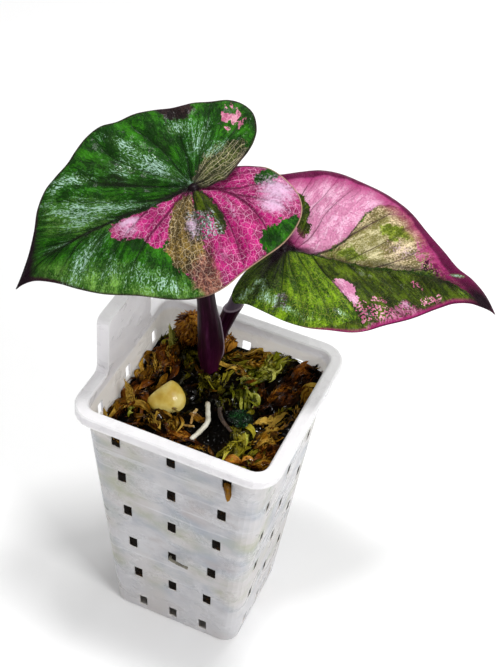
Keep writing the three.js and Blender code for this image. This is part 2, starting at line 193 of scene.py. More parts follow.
def make_mesh(name: str, places: Array, faces: Sequence) -> Piece:
    """Make a smooth-shaded piece that rides on the part's one body.

    Args:
        name: The piece's name.
        places: Its vertices in millimetres.
        faces: Its faces as lists of vertex numbers.

    Returns:
        The new object.
    """
    mesh = bpy.data.meshes.new(name)
    mesh.from_pydata((np.asarray(places) * MM).tolist(), [], [list(f) for f in faces])
    mesh.update()
    mesh.polygons.foreach_set("use_smooth", np.ones(len(mesh.polygons), bool))
    piece = bpy.data.objects.new(name, mesh)
    bpy.context.scene.collection.objects.link(piece)
    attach(piece, "root")
    log.info("%s: %d vertices, %d faces", name, len(mesh.vertices), len(mesh.polygons))
    return piece


def store(piece: Piece, **numbers: Array) -> None:
    """Keep numbers or vectors at the vertices of a piece, each set of them under its own name."""
    for name, values in numbers.items():
        rows = np.asarray(values, np.float32)
        kind, slot = ("FLOAT", "value") if rows.ndim == 1 else ("FLOAT_VECTOR", "vector")
        piece.data.attributes.new(name, kind, "POINT").data.foreach_set(slot, rows.ravel())


class Finish:
    """One material under construction: its nodes, and one way to add a node."""

    USUAL = {"Mix": {"data_type": "RGBA"}, "TexVoronoi": {"voronoi_dimensions": "2D"}}
    VECTORS = ("flat", "around")

    def __init__(self, name: str, *kept: str) -> None:
        """Start a tree that ends in a Principled shader.

        Args:
            name: The material's name.
            kept: The names of the numbers or vectors kept at the vertices that it reads.
        """
        self.material = bpy.data.materials.new(name)
        self.material.use_nodes = True
        self.tree = self.material.node_tree
        self.shader = self.tree.nodes["Principled BSDF"]
        self.kept = {}
        for key in kept:
            output = "Vector" if key in self.VECTORS else "Fac"
            self.kept[key] = self.add("Attribute", output=output, attribute_name=key)

    def feed(self, socket: Socket, source: object) -> None:
        """Link a source to a socket, or set the socket's value, with a colour as its hex code."""
        if isinstance(source, Socket):
            self.tree.links.new(source, socket)
        else:
            socket.default_value = tint(source) if isinstance(source, str) else source

    def add(
        self, kind: str, *inputs: object, output: str | None = None, stops: Sequence = (), **named: object
    ) -> Socket:
        """Add a node with its settings and links.

        Args:
            kind: The node's type without its ShaderNode prefix, then its operation if it has one.
            inputs: What feeds the node's inputs in use, in their order: sockets, values or hex codes.
            output: The output to return, or None for the first one in use.
            stops: A colour ramp's positions and colours.
            named: Inputs by their names in small letters, where the pairs from_ and to feed the ends
                of a map range, and the node's own properties.

        Returns:
            The wanted output socket.
        """
        kind, *operation = kind.split()
        node = self.tree.nodes.new("ShaderNode" + kind)
        for word in operation:
            node.operation = word
        for pair, end in (("from_", "from"), ("to", "to")):
            if pair in named:
                named[end + "_min"], named[end + "_max"] = named.pop(pair)
        known = {s.name.lower().replace(" ", "_") for s in node.inputs}
        settings = {key: value for key, value in named.items() if key not in known}
        for key, value in {**self.USUAL.get(kind, {}), **settings}.items():
            setattr(node, key, value)
        if stops:
            ramp = node.color_ramp.elements
            while len(ramp) < len(stops):
                ramp.new(1.0)
            for element, (position, colour) in zip(ramp, stops):
                element.position = position
                element.color = tint(colour) if isinstance(colour, str) else colour
        in_use = [s for s in node.inputs if s.enabled]
        for socket, source in zip(in_use, inputs):
            self.feed(socket, source)
        for socket in in_use:
            key = socket.name.lower().replace(" ", "_")
            if key in named:
                self.feed(socket, named[key])
        return node.outputs[output] if output else next(s for s in node.outputs if s.enabled)

    def surface(self, **inputs: object) -> None:
        """Feed the Principled shader's inputs."""
        for key, source in inputs.items():
            self.feed(self.shader.inputs[key.replace("_", " ").title().replace("Ior", "IOR")], source)

    def dress(self, piece: Piece) -> None:
        """Give the finished material to a piece, in place of what it had."""
        piece.data.materials.clear()
        piece.data.materials.append(self.material)


def seat(piece: Piece, finish: Finish, node: str, slot: str) -> None:
    """Dress a piece and let it stand for a node of the part, whose own object is hidden."""
    finish.dress(piece)
    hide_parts(node)


# Leaves


class Half(Enum):
    """The two halves of a blade, seen from the front of the basket."""

    FAR = 1
    NEAR = -1


FAR, NEAR = Half


@dataclass(frozen=True)
class Lift:
    """How one half of a blade rises from its midrib and arches over again."""

    rise: float
    arch: float


@dataclass(frozen=True)
class BladePose:
    """Where a blade is and how it bends, in millimetres and degrees."""

    root: Place
    heading: float
    droop: float
    roll: float
    far_side: int
    fall: float
    hook: float
    lobe_fall: float
    length: float
    lobe: float
    far: Lift
    near: Lift
    overlap: float = 0.0
    lobe_lift: float = 0.0
    lobe_sink: float = 0.0
    softness: float = 3.0

    def axes(self) -> Array:
        """Give the unit directions along the midrib, to the far side and out of the face."""
        h, d, r = np.radians([self.heading, self.droop, self.roll])
        along = np.array([math.cos(h) * math.cos(d), math.sin(h) * math.cos(d), -math.sin(d)])
        level = self.far_side * np.array([-math.sin(h), math.cos(h), 0])
        up = np.cross(along, level) * self.far_side
        across = math.cos(r) * level + math.sin(r) * up
        return np.array([along, across, math.cos(r) * up - math.sin(r) * level])

    def place(self, flat: Array, half: Half, middle: Array) -> Array:
        """Bend flat leaf points into space.

        Args:
            flat: Points in leaf millimetres, along the midrib and across to the far side.
            half: The half that the points belong to.
            middle: The midrib's own place across, for each point.

        Returns:
            The points in the part's frame, in millimetres.
        """
        s, w = flat.T
        t = np.maximum(s, 0) / self.length
        back = np.maximum(-s, 0) / self.lobe
        near_rib = np.exp(-np.abs(w) / 9) * np.clip(back / 0.35, 0, 1)
        far = half is FAR
        shift = -self.overlap * near_rib * np.clip(back / 0.35, 0, 1) * far
        lift = (self.lobe_lift if far else -self.lobe_sink) * near_rib
        share = 0.5 + 0.5 * np.tanh((w - middle) / 1.5)
        share = np.where(s < 0, float(far), share)
        rise = self.near.rise + (self.far.rise - self.near.rise) * share
        arch = self.near.arch + (self.far.arch - self.near.arch) * share
        fall = self.fall * t**2 + self.hook * t**5 + self.lobe_fall * back**2
        height = rise * (np.hypot(w, self.softness) - self.softness) - arch * w * w - fall + lift
        return np.array(self.root) + np.stack([s, w + shift, height], 1) @ self.axes()


@dataclass(frozen=True)
class Rib:
    """A vein thick enough to dent the blade: its flat places and its half width at its base."""

    places: Points
    width: float = 0.3


@dataclass(frozen=True)
class Tone:
    """The colours of one kind of leaf tissue, as sRGB hex codes."""

    deep: str
    light: str
    net: str
    vein: str
    rib: str
    net_share: float = 0.5
    vein_share: float = 0.3
    grain: float = 0.35
    contrast: float = 0.4


@dataclass(frozen=True)
class Zone:
    """Flat outlines on one half, or both, that share one tone of tissue."""

    name: str
    tone: Tone
    outlines: Sequence[Points]
    half: Half | None = None
    jag: float = 1.2
    cover: float = 1.0
    soft: float = 0.12


@dataclass(frozen=True)
class Spot:
    """A soft oval on the flat leaf: its middle, its reach each way, its turn and its strength."""

    s: float
    w: float
    along: float
    across: float
    turn: float = 0.0
    strength: float = 1.0

    def at(self, flat: Array) -> Array:
        """Give the spot's strength at each flat point."""
        rel = flat - np.array([self.s, self.w])
        c, s = math.cos(math.radians(self.turn)), math.sin(math.radians(self.turn))
        u = (rel[:, 0] * c + rel[:, 1] * s) / self.along
        v = (-rel[:, 0] * s + rel[:, 1] * c) / self.across
        return self.strength * np.exp(-(u * u + v * v))


DEPTH_LIMIT = 9.0


@dataclass
class LeafBlade:
    """One heart-shaped blade: its outline, ribs and tissue zones in flat leaf millimetres."""

    name: str
    node: str
    pose: BladePose
    midrib: Points
    far_edge: Points
    near_edge: Points
    far_ribs: Sequence[Rib]
    near_ribs: Sequence[Rib]
    ground: Tone
    zones: Sequence[Zone]
    margin: Callable[[Array], Array]
    margin_colour: str
    margin_light: str
    flush: str = ""
    # The colour of a painted highlight along the near lobe's edge.
    painted_edge_light: str = ""
    # The tint of the painted sheen.
    film: str = "#5f9a78"
    # Painted highlights: where the sheen and glints are painted into the colour.
    sheen: Sequence[Spot] = ()
    # Pale patches: partly tissue without pigment, partly painted highlight.
    pale: Sequence[Spot] = ()
    # Painted shade, together with the dark pigment of the tips.
    shade: Sequence[Spot] = ()
    step: float = 0.42
    thickness: float = 0.5
    midrib_width: float = 0.55
    seed: float = 1.0

    def side(self, half: Half) -> tuple[Points, Sequence[Rib]]:
        """Give one half's edge and its ribs."""
        return (self.far_edge, self.far_ribs) if half is FAR else (self.near_edge, self.near_ribs)

    def half_mesh(self, half: Half) -> tuple[Array, list]:
        """Fill one half of the outline with small triangles.

        Args:
            half: The half to fill.

        Returns:
            The flat points, the midrib's first, and the triangles as point numbers.
        """
        outline, ribs = self.side(half)
        middle = smooth_line(self.midrib, self.step)
        loop = np.vstack([middle, smooth_line(outline, self.step)[-2:0:-1]])
        clear = 0.6 * self.step
        lines = self.thin_out(np.vstack([smooth_line(rib.places, self.step) for rib in ribs]), clear)
        low, high = loop.min(0), loop.max(0)
        rows = np.arange(low[1], high[1], self.step * 0.866)
        cols = np.arange(low[0], high[0], self.step)
        grid = np.stack(np.meshgrid(cols, rows), -1)
        grid[1::2, :, 0] += self.step / 2
        spread = np.random.default_rng(SEED).normal(0, 0.07 * self.step, grid.shape)
        grid = (grid + spread).reshape(-1, 2)
        tree = neighbours(lines)
        grid = grid[[tree.find((x, y, 0))[2] > clear for x, y in grid]]
        inner = np.vstack([lines, grid])
        inner = inner[inside_distance(inner, loop) > clear]
        points = [Vector(p) for p in np.vstack([loop, inner])]
        made = delaunay_2d_cdt(points, [], [list(range(len(loop)))], 1, 1e-7)
        flat = np.array([p[:] for p in made[0]])
        number = {first: i for i, first in enumerate(group[0] if group else -1 for group in made[3])}
        front = [number[i] for i in range(len(middle))]
        rest = sorted(set(range(len(flat))) - set(front))
        order = np.empty(len(flat), int)
        order[np.array(front + rest)] = np.arange(len(flat))
        return flat[front + rest], [[int(order[i]) for i in face] for face in made[2]]

    def thin_out(self, points: Array, clear: float) -> Array:
        """Drop points that lie too near one kept before them."""
        tree = neighbours(points)
        kept, taken = [], set()
        for i, (x, y) in enumerate(points):
            if i not in taken:
                kept.append(i)
                taken.update(number for _, number, _ in tree.find_range((x, y, 0), clear))
        return points[kept]

    def fields(self, flat: Array, half: Half) -> dict[str, Array]:
        """Measure one half's points against its ribs.

        Args:
            flat: The half's flat points.
            half: Which half it is.

        Returns:
            The distance past the nearest rib's side, that rib's half width and distance, the phase
            and gap that the fine veins between the ribs follow, and the distance to the margin.
        """
        outline, ribs = self.side(half)
        edge = smooth_line(outline, 1.0)
        lines = [smooth_line(self.midrib, 1.0), *(smooth_line(rib.places, 0.8) for rib in ribs)]
        inner = edge[: max(3, len(edge) // 5)]
        measured = [line_distance(flat, line) for line in lines]
        inner_distance = line_distance(flat, inner)[0]
        lobeward = 1 if half is FAR else -1
        passed = np.sum([m[2] == lobeward for m in measured[1:]], axis=0)
        distances = np.array([m[0] for m in measured] + [inner_distance])
        number = np.arange(len(flat))
        before, after = distances[passed, number], distances[passed + 1, number]
        gap = before + after + 1e-3
        widths = np.array([self.midrib_width, *(rib.width for rib in ribs)])
        taper = np.array([w * (1 - 0.72 * m[1] ** 0.8) for w, m in zip(widths, measured)])
        past = distances[:-1] - taper
        nearest = past.argmin(0)
        return {
            "rib": past.min(0),
            "rib_width": taper[nearest, number],
            "rib_distance": distances[:-1].min(0),
            "phase": passed + before / gap,
            "gap": gap,
            "margin": line_distance(flat, edge)[0],
        }

    def relief(self, values: dict[str, Array], flat: Array) -> Array:
        """Give the height of the upper face over its smooth base, in millimetres."""
        d, width = values["rib_distance"], values["rib_width"]
        swell = 0.8 * (1 - np.exp(-((d / 2.2) ** 2))) - 1.1 * width * np.exp(-((d / (1.6 * width)) ** 2))
        fine = 0.035 * np.cos(2 * math.pi * 4 * values["phase"]) * ease(values["gap"], 2, 6)
        lumps = 0.22 * ripple(flat, 3.2, self.seed) + 0.30 * ripple(flat, 7.5, self.seed + 3)
        lumps += 0.09 * ripple(flat, 1.25, self.seed + 5)
        edge = ease(values["margin"], 0, 2.5)
        roll = -0.35 * (1 - ease(values["margin"], 0, 1.2))
        wave = 0.55 * ripple(flat, 11, self.seed + 9) * (1 - ease(values["margin"], 0, 9))
        return edge * (swell - fine + lumps) + roll + wave

    def build(self) -> Piece:
        """Build the blade's upper and lower faces and its rim, and dress it.

        Returns:
            The finished blade.
        """
        parts = {half: self.half_mesh(half) for half in Half}
        middle_count = len(smooth_line(self.midrib, self.step))
        middle_line = smooth_line(self.midrib, 1.0)
        places, flats, faces = [], [], []
        values: dict[str, list] = {}
        count = 0
        for half, (flat, triangles) in parts.items():
            middle = np.interp(flat[:, 0], middle_line[:, 0], middle_line[:, 1])
            found = self.fields(flat, half)
            for zone in self.zones:
                depth = [np.full(len(flat), -DEPTH_LIMIT)]
                if zone.half in (None, half):
                    depth = [inside_distance(flat, outline) for outline in zone.outlines]
                found["zone_" + zone.name] = np.clip(np.max(depth, axis=0), -DEPTH_LIMIT, DEPTH_LIMIT)
            found["rim"] = self.margin(np.column_stack([flat, found["margin"]]))
            skip = middle_count if half is NEAR else 0
            places.append(self.pose.place(flat, half, middle)[skip:])
            flats.append(flat[skip:])
            for key, numbers in found.items():
                values.setdefault(key, []).append(numbers[skip:])
            shift = count - skip
            faces += [[i if i < skip else i + shift for i in face] for face in triangles]
            count += len(flat) - skip
        base, flat = np.vstack(places), np.vstack(flats)
        joined = {key: np.concatenate(numbers) for key, numbers in values.items()}
        faces_array = np.array(faces)
        axes = self.pose.axes()
        if np.cross(axes[0], axes[1]) @ axes[2] < 0:
            faces_array = faces_array[:, ::-1]
        normal = self.normals(base, faces_array)
        upper = base + normal * (self.relief(joined, flat) + self.thickness / 2)[:, None]
        thin = self.thickness * (0.45 + 0.55 * ease(joined["margin"], 0, 1.5))
        keel_reach = 1.5 * joined["rib_width"]
        keel = keel_reach * np.exp(-((joined["rib_distance"] / keel_reach) ** 2))
        lower = upper - normal * (thin + 1.4 * keel)[:, None]
        piece = make_mesh(self.name, np.vstack([upper, lower]), self.close(faces_array, len(upper)))
        store(piece, flat=np.tile(np.column_stack([flat, np.zeros(len(flat))]), (2, 1)))
        # Soft spots: painted sheen, pale patches that are partly painted highlight, and painted shade with
        # the dark tips.
        for key, spots in (("sheen", self.sheen), ("pale", self.pale), ("shade", self.shade)):
            joined[key] = sum((spot.at(flat) for spot in spots), np.zeros(len(flat)))
        read = {key: np.tile(numbers, 2) for key, numbers in joined.items() if not key.startswith("rib_")}
        store(piece, **read)
        self.dress(piece, len(faces_array))
        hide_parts(self.node)
        return piece

    def normals(self, places: Array, faces: Array) -> Array:
        """Give unit normals at the vertices of a triangle mesh."""
        a, b, c = (places[faces[:, k]] for k in range(3))
        flat = np.cross(b - a, c - a)
        total = np.zeros_like(places)
        for k in range(3):
            np.add.at(total, faces[:, k], flat)
        return unit(total)

    def close(self, faces: Array, count: int) -> list:
        """Add the lower face and the rim to an upper face.

        Args:
            faces: The upper triangles.
            count: The number of upper vertices; the lower ones follow in the same order.

        Returns:
            All faces of the closed blade, the upper ones first.
        """
        edges = {(int(f[k]), int(f[(k + 1) % 3])) for f in faces for k in range(3)}
        rim = [(a, b) for a, b in sorted(edges) if (b, a) not in edges]
        walls = [[b, a, a + count, b + count] for a, b in rim]
        return [*faces.tolist(), *(faces[:, ::-1] + count).tolist(), *walls]

    def dress(self, piece: Piece, upper_faces: int) -> None:
        """Give the upper face and the underside their own materials."""
        BladeTop(self).dress(piece)
        piece.data.materials.append(BladeUnderside(self).material)
        slots = np.zeros(len(piece.data.polygons), int)
        slots[upper_faces : 2 * upper_faces] = 1
        piece.data.polygons.foreach_set("material_index", slots)


class BladeTop(Finish):
    """Waxy leaf cuticle, grown: a glossy skin over tissue that shows its ribs and vein net."""

    def __init__(self, blade: LeafBlade) -> None:
        """Build the layers of tissue, from the ground tone up to the margin, the painted shade and sheen,
        and the wax coat.
        """
        shared = ("flat", "phase", "gap", "rib", "pale", "shade", "sheen", "rim", "margin")
        super().__init__(f"waxy_leaf_{blade.name}", *shared, *(f"zone_{zone.name}" for zone in blade.zones))
        self.blade = blade
        self.flat = self.kept["flat"]
        self.build_patterns()
        colour = self.tissue(blade.ground)
        for zone in blade.zones:
            mask = self.zone_mask(zone)
            colour = self.add("Mix", mask, colour, self.tissue(zone.tone))
        colour = self.pale(colour)
        colour = self.margin(colour)
        colour = self.folds_and_bloom(colour)
        # The wax coat is thicker where the sheen is painted.
        wax = self.add("MapRange", self.painted_sheen, to=(0.03, 0.5))
        self.surface(base_color=colour, roughness=self.gloss(), ior=1.4, specular_ior_level=0.12)
        self.surface(coat_weight=wax, coat_roughness=0.1)
        self.surface(normal=self.bump())

    def build_patterns(self) -> None:
        """Make the patterns that every tissue shares, at the sizes measured on such a leaf.

        The vein net has meshes of about 2 mm with fainter ones of 0.8 mm inside them. Its lines are
        drawn 0.2 mm wide, a little wider than real ones so that they show, and fade in and out.
        """
        wobble = self.add("TexNoise", self.flat, scale=0.9, detail=2, output="Color")
        bent = self.add("VectorMath ADD", self.flat, wobble)
        self.net_distance = self.add(
            "TexVoronoi", bent, scale=0.5, randomness=0.95, feature="DISTANCE_TO_EDGE",
        )
        coarse = self.add("MapRange", self.net_distance, from_=(0.005, 0.055), to=(1, 0), **SMOOTH)
        small = self.add("TexVoronoi", bent, scale=1.2, randomness=0.95, feature="DISTANCE_TO_EDGE")
        thin = self.add("MapRange", small, from_=(0, 0.1), to=(0.4, 0))
        whole_net = self.add("Math MAXIMUM", coarse, thin)
        fading = self.add("TexNoise", self.flat, scale=0.12, detail=2)
        strength = self.add("MapRange", fading, from_=(0.38, 0.6), to=(0.4, 1.15))
        self.net = self.add("Math MULTIPLY", whole_net, strength)
        drift = self.add("TexNoise", self.flat, scale=0.3, detail=2)
        across = self.add("Math MULTIPLY_ADD", self.kept["phase"], 4, drift)
        whole = self.add("Math FRACT", across)
        centred = self.add("Math SUBTRACT", whole, 0.5)
        off = self.add("Math ABSOLUTE", centred)
        reach = self.add("Math MULTIPLY", off, self.kept["gap"])
        self.fine = self.add("MapRange", reach, from_=(0.04, 0.3), to=(1, 0), **SMOOTH)
        self.rib_mask = self.add("MapRange", self.kept["rib"], from_=(-0.12, 0.1), to=(1, 0), **SMOOTH)
        # Painted shade: a soft dark band beside each rib, in the groove it dents.
        self.painted_rib_shade = self.add("MapRange", self.kept["rib"], from_=(0, 1.5), to=(0.6, 0), **SMOOTH)
        self.mottle = self.add("TexNoise", self.flat, scale=0.14, detail=6, roughness=0.6)
        self.grain = self.add("TexNoise", self.flat, scale=1.7, detail=4, roughness=0.65)
        slow = self.add("VectorMath SCALE", self.flat, 0.2)
        lifted = self.add("CombineXYZ", z=self.add("Math MULTIPLY", self.kept["phase"], 6))
        lane = self.add("VectorMath ADD", slow, lifted)
        self.streak = self.add("TexNoise", lane, scale=0.8, detail=4, roughness=0.55)
        levels = self.add("Math MULTIPLY", self.streak, 60)
        self.wrinkle = self.add("Math SINE", levels)

    def tissue(self, tone: Tone) -> Socket:
        """Mix one tone's colours through the shared patterns."""
        both = self.add("Math ADD", self.mottle, self.streak)
        fine_share = self.add("Math MULTIPLY_ADD", self.grain, tone.grain, both)
        fine_share = self.add("Math MULTIPLY_ADD", self.wrinkle, 0.07, fine_share)
        middle = 1.0 + tone.grain / 2
        blend = self.add("MapRange", fine_share, from_=(middle - 0.26, middle + 0.3))
        colour = self.add(
            "ValToRGB", blend,
            stops=[
                (0.0, tint(tone.deep, 1 - 0.75 * tone.contrast)), (0.36, tone.deep), (0.72, tone.light),
                (1.0, tint(tone.light, 1 + 0.7 * tone.contrast)),
            ],
        )
        # The first mask is painted shade beside the ribs; the rest are the tissue's own vein net, fine veins
        # and ribs.
        for mask, share, code in (
            (self.painted_rib_shade, tone.contrast, tone.rib),
            (self.net, tone.net_share, tone.net),
            (self.fine, tone.vein_share, tone.vein),
            (self.rib_mask, 0.85, tone.rib),
        ):
            part = self.add("Math MULTIPLY", mask, share)
            colour = self.add("Mix", part, colour, code)
        return colour

    def zone_mask(self, zone: Zone) -> Socket:
        """Give a zone's mask, with an edge that steps from cell to cell as variegation does."""
        cells = self.add("TexVoronoi", self.flat, scale=0.75, randomness=1, output="Color")
        tiny = self.add("TexVoronoi", self.flat, scale=2, randomness=1, output="Color")
        step = self.add("SeparateColor", cells, output="Red")
        small = self.add("SeparateColor", tiny, output="Green")
        push = self.add("MapRange", step, to=(-zone.jag, zone.jag))
        nudge = self.add("MapRange", small, to=(-0.35, 0.35))
        moved = self.add("Math ADD", self.kept["zone_" + zone.name], push)
        moved = self.add("Math ADD", moved, nudge)
        mask = self.add("MapRange", moved, from_=(-zone.soft, zone.soft), **SMOOTH)
        if zone.cover < 1:
            chance = self.add("SeparateColor", tiny, output="Blue")
            kept = self.add("Math LESS_THAN", chance, zone.cover)
            mask = self.add("Math MULTIPLY", mask, kept)
        return mask

    def pale(self, colour: Socket) -> Socket:
        """Add pale patches that end cell by cell and not in a blur: partly tissue without pigment, partly a
        painted highlight on the nearer blade.
        """
        cells = self.add("TexVoronoi", self.flat, scale=1.7, randomness=1, output="Color")
        cell = self.add("SeparateColor", cells, output="Red")
        uneven = self.add("Math MULTIPLY_ADD", self.grain, 0.95, self.kept["pale"])
        stepped = self.add("Math MULTIPLY_ADD", cell, 0.32, uneven)
        share = self.add("MapRange", stepped, from_=(0.86, 1.5), to=(0, 0.84))
        return self.add("Mix", share, colour, "#e2bedc")

    def folds_and_bloom(self, colour: Socket) -> Socket:
        """Add painted shade at the junction, along the midrib and in the folds, with the dark pigment of the
        tips, then painted sheen: a broad tint and pale flecks where the wax shines, with painted shade in
        its wrinkles.
        """
        # Painted shade, with the dark pigment of the tips: the shade spots darken the colour towards
        # near-black purple.
        shade = self.add("Math MULTIPLY", self.kept["shade"], 0.92, use_clamp=True)
        colour = self.add("Mix", shade, colour, "#1a0a14")
        # Painted sheen: a broad tint in the blade's film colour where the sheen spots lie.
        painted_sheen_tint = self.add("Math MULTIPLY_ADD", self.streak, 0.9, self.kept["sheen"])
        painted_sheen_tint = self.add("Math MULTIPLY_ADD", self.wrinkle, 0.12, painted_sheen_tint)
        painted_sheen_tint = self.add("MapRange", painted_sheen_tint, from_=(0.74, 1.42), to=(0, 0.6))
        colour = self.add("Mix", painted_sheen_tint, colour, self.blade.film)
        # Painted highlight: pale bluish flecks within the sheen spots.
        flecks = self.add("TexNoise", self.flat, scale=1.5, detail=4, roughness=0.7)
        crisp = self.add("Math ADD", flecks, self.streak)
        crisp = self.add("Math MULTIPLY_ADD", self.wrinkle, 0.2, crisp)
        bare = self.add("MapRange", crisp, from_=(0.85, 1.3))
        reach = self.add("Math MULTIPLY_ADD", self.kept["sheen"], 0.62, bare)
        painted_sheen = self.add("MapRange", reach, from_=(1, 1.42), to=(0, 0.85))
        self.painted_sheen = painted_sheen
        colour = self.add("Mix", painted_sheen, colour, "#a8cabc")
        # Painted shade: dark lines in the wrinkles that cross the painted sheen.
        painted_crease_shade = self.add("MapRange", self.wrinkle, from_=(-0.95, -0.3), to=(0.8, 0))
        painted_crease_shade = self.add("Math MULTIPLY", painted_crease_shade, self.kept["sheen"], use_clamp=True)
        return self.add("Mix", painted_crease_shade, colour, self.blade.ground.deep)

    def margin(self, colour: Socket) -> Socket:
        """Paint the dark margin, whose width was worked out at the vertices."""
        uneven = self.add("Math SUBTRACT", self.grain, 0.5)
        edge = self.add("Math ADD", self.kept["rim"], uneven)
        if self.blade.flush:
            near = self.add("MapRange", edge, from_=(-6.5, 0.5), to=(0, 0.85), **SMOOTH)
            colour = self.add("Mix", near, colour, self.blade.flush)
        mask = self.add("MapRange", edge, from_=(-0.6, 0.5), **SMOOTH)
        dark = self.add("Mix", self.mottle, self.blade.margin_colour, self.blade.margin_light)
        colour = self.add("Mix", mask, colour, dark)
        # Then the painted highlight along the near lobe's edge, where the blade has one.
        return self.painted_edge_light(colour) if self.blade.painted_edge_light else colour

    def painted_edge_light(self, colour: Socket) -> Socket:
        """Paint a thin painted highlight along the edge of the near lobe, where light catches it."""
        line = self.add("MapRange", self.kept["margin"], from_=(0.15, 0.5), to=(0.8, 0))
        towards_tip = self.add("SeparateXYZ", self.flat, output="X")
        across = self.add("SeparateXYZ", self.flat, output="Y")
        lobe = self.add("MapRange", towards_tip, from_=(4, 16), to=(1, 0))
        near = self.add("MapRange", across, from_=(-4, -2), to=(1, 0))
        here = self.add("Math MULTIPLY", lobe, near)
        share = self.add("Math MULTIPLY", line, here)
        return self.add("Mix", share, colour, self.blade.painted_edge_light)

    def gloss(self) -> Socket:
        """Give the roughness: waxy, a little duller where the sheen is painted."""
        return self.add("MapRange", self.kept["sheen"], to=(0.3, 0.42))

    def bump(self) -> Socket:
        """Give the normal: blisters between the vein net and a fine cell grain."""
        bulge = self.add("Math POWER", self.net_distance, 0.5)
        coarse = self.add("Bump", height=bulge, strength=0.7, distance=0.0003)
        folds = self.add("Bump", height=self.wrinkle, strength=0.6, distance=0.00012, normal=coarse)
        lanes = self.add("Bump", height=self.streak, strength=0.8, distance=0.0009, normal=folds)
        return self.add("Bump", height=self.grain, strength=0.6, distance=0.0005, normal=lanes)


class BladeUnderside(Finish):
    """Leaf underside, grown: matt and paler, with ribs flushed purple."""

    def __init__(self, blade: LeafBlade) -> None:
        """Build the underside's colour from mottled tissue and the same ribs."""
        super().__init__(f"matt_leaf_{blade.name}", "flat", "rib")
        mottle = self.add("TexNoise", self.kept["flat"], scale=0.3, detail=5)
        colour = self.add("Mix", mottle, "#5f7a4a", "#93a37a")
        mask = self.add("MapRange", self.kept["rib"], from_=(-0.1, 0.5), to=(1, 0))
        colour = self.add("Mix", mask, colour, "#5e2745")
        self.surface(base_color=colour, roughness=0.55)
        self.surface(normal=self.add("Bump", height=mottle, strength=0.4, distance=0.0003))


GREEN = Tone("#0e3803", "#2a6a08", "#4a8022", "#113c05", "#082003", 0.16, 0.3, 0.45, 0.6)
FRESH = Tone("#2e6012", "#6a983c", "#a4c07a", "#2a5812", "#123404", 0.3, 0.3, 0.7, 0.6)
BRIGHT_GREEN = Tone("#2a4d04", "#6a8c10", "#b4b850", "#3c5a08", "#1e3604", 0.4, 0.25, 0.9, 0.8)
DARK_GREEN = Tone("#202f04", "#4a5e0c", "#7c7c2a", "#2a3a08", "#141e04", 0.3, 0.2, 0.6, 0.7)
MAGENTA = Tone("#8a0450", "#b81272", "#f4b4d4", "#e284bc", "#5a0434", 0.75, 0.35, 0.5, 0.45)
OLIVE = Tone("#30220c", "#7a6228", "#dcc8a0", "#c4a478", "#443616", 0.75, 0.35, 0.9, 0.8)
ROSE_TAN = Tone("#4c2424", "#9a6450", "#e4c4ac", "#c89480", "#4c2024", 0.7, 0.35, 0.8, 0.7)
LOBE = Tone("#182806", "#46600e", "#8c9c48", "#6c7c28", "#0e1a04", 0.35, 0.4, 0.9, 0.8)
ROSE_NET = Tone("#7c2c50", "#b87490", "#dca4b8", "#8a4864", "#501830", 0.4, 0.3, 0.9, 0.6)
PINK = Tone("#d284aa", "#e6b0cc", "#b86890", "#744658", "#664050", 0.35, 0.5, 0.9, 0.2)
CREAM = Tone("#7c7044", "#dcc8a0", "#857c42", "#685a34", "#4c3038", 0.55, 0.3, 1.3, 0.4)
SAGE = Tone("#827c3e", "#c8be92", "#dcd2ac", "#645c2e", "#443824", 0.35, 0.4, 0.8, 0.4)
MOSSY = Tone("#54660e", "#92a234", "#b4b65c", "#4a5c10", "#364010", 0.3, 0.25, 0.8, 0.5)
STRIPED = Tone("#1c2c06", "#56602a", "#d4c69c", "#eadcba", "#141c06", 0.5, 0.62, 0.9, 0.8)
BRONZE = Tone("#150c0e", "#30201f", "#3c2c28", "#1c1214", "#100a08", 0.2, 0.1, 0.4, 0.6)
BLUSH = Tone("#b4587c", "#dc9cb0", "#e6b6c4", "#b06a80", "#8a4a60", 0.3, 0.1, 0.4, 0.4)
SILVER = Tone("#3c4426", "#a4b0b0", "#c890b0", "#687468", "#262e18", 0.4, 0.2, 1.2, 0.8)


def margin_left(rows: Array) -> Array:
    """Give how far inside the dark margin each point is, for rows of along, across and distance."""
    s, _, distance = rows.T
    wide = 0.35 + 0.7 * ease(s, 40, 56) + 3 * ease(s, 56, 63)
    return wide - distance


def margin_right(rows: Array) -> Array:
    """Give how far inside the magenta margin each point is, for rows of along, across and distance."""
    s, w, distance = rows.T
    upper = 2.0 + 1.4 * np.exp(-(((s - 3) / 12) ** 2)) + 2.2 * ease(s, 34, 60)
    lower = 6.3 * ease(s, 4, 22) - 6 + 1.2 * ease(s, 28, 36) + 1.0 * ease(s, 50, 60)
    middle = np.interp(s, [0, 30, 56, 75], [0.8, 1.4, 5.2, 2.0])
    steep = 6 - 1.8 * ease(s, 20, 36)
    return np.where(w > middle, upper - distance, lower - steep * distance) + 3 * ease(s, 66, 74)


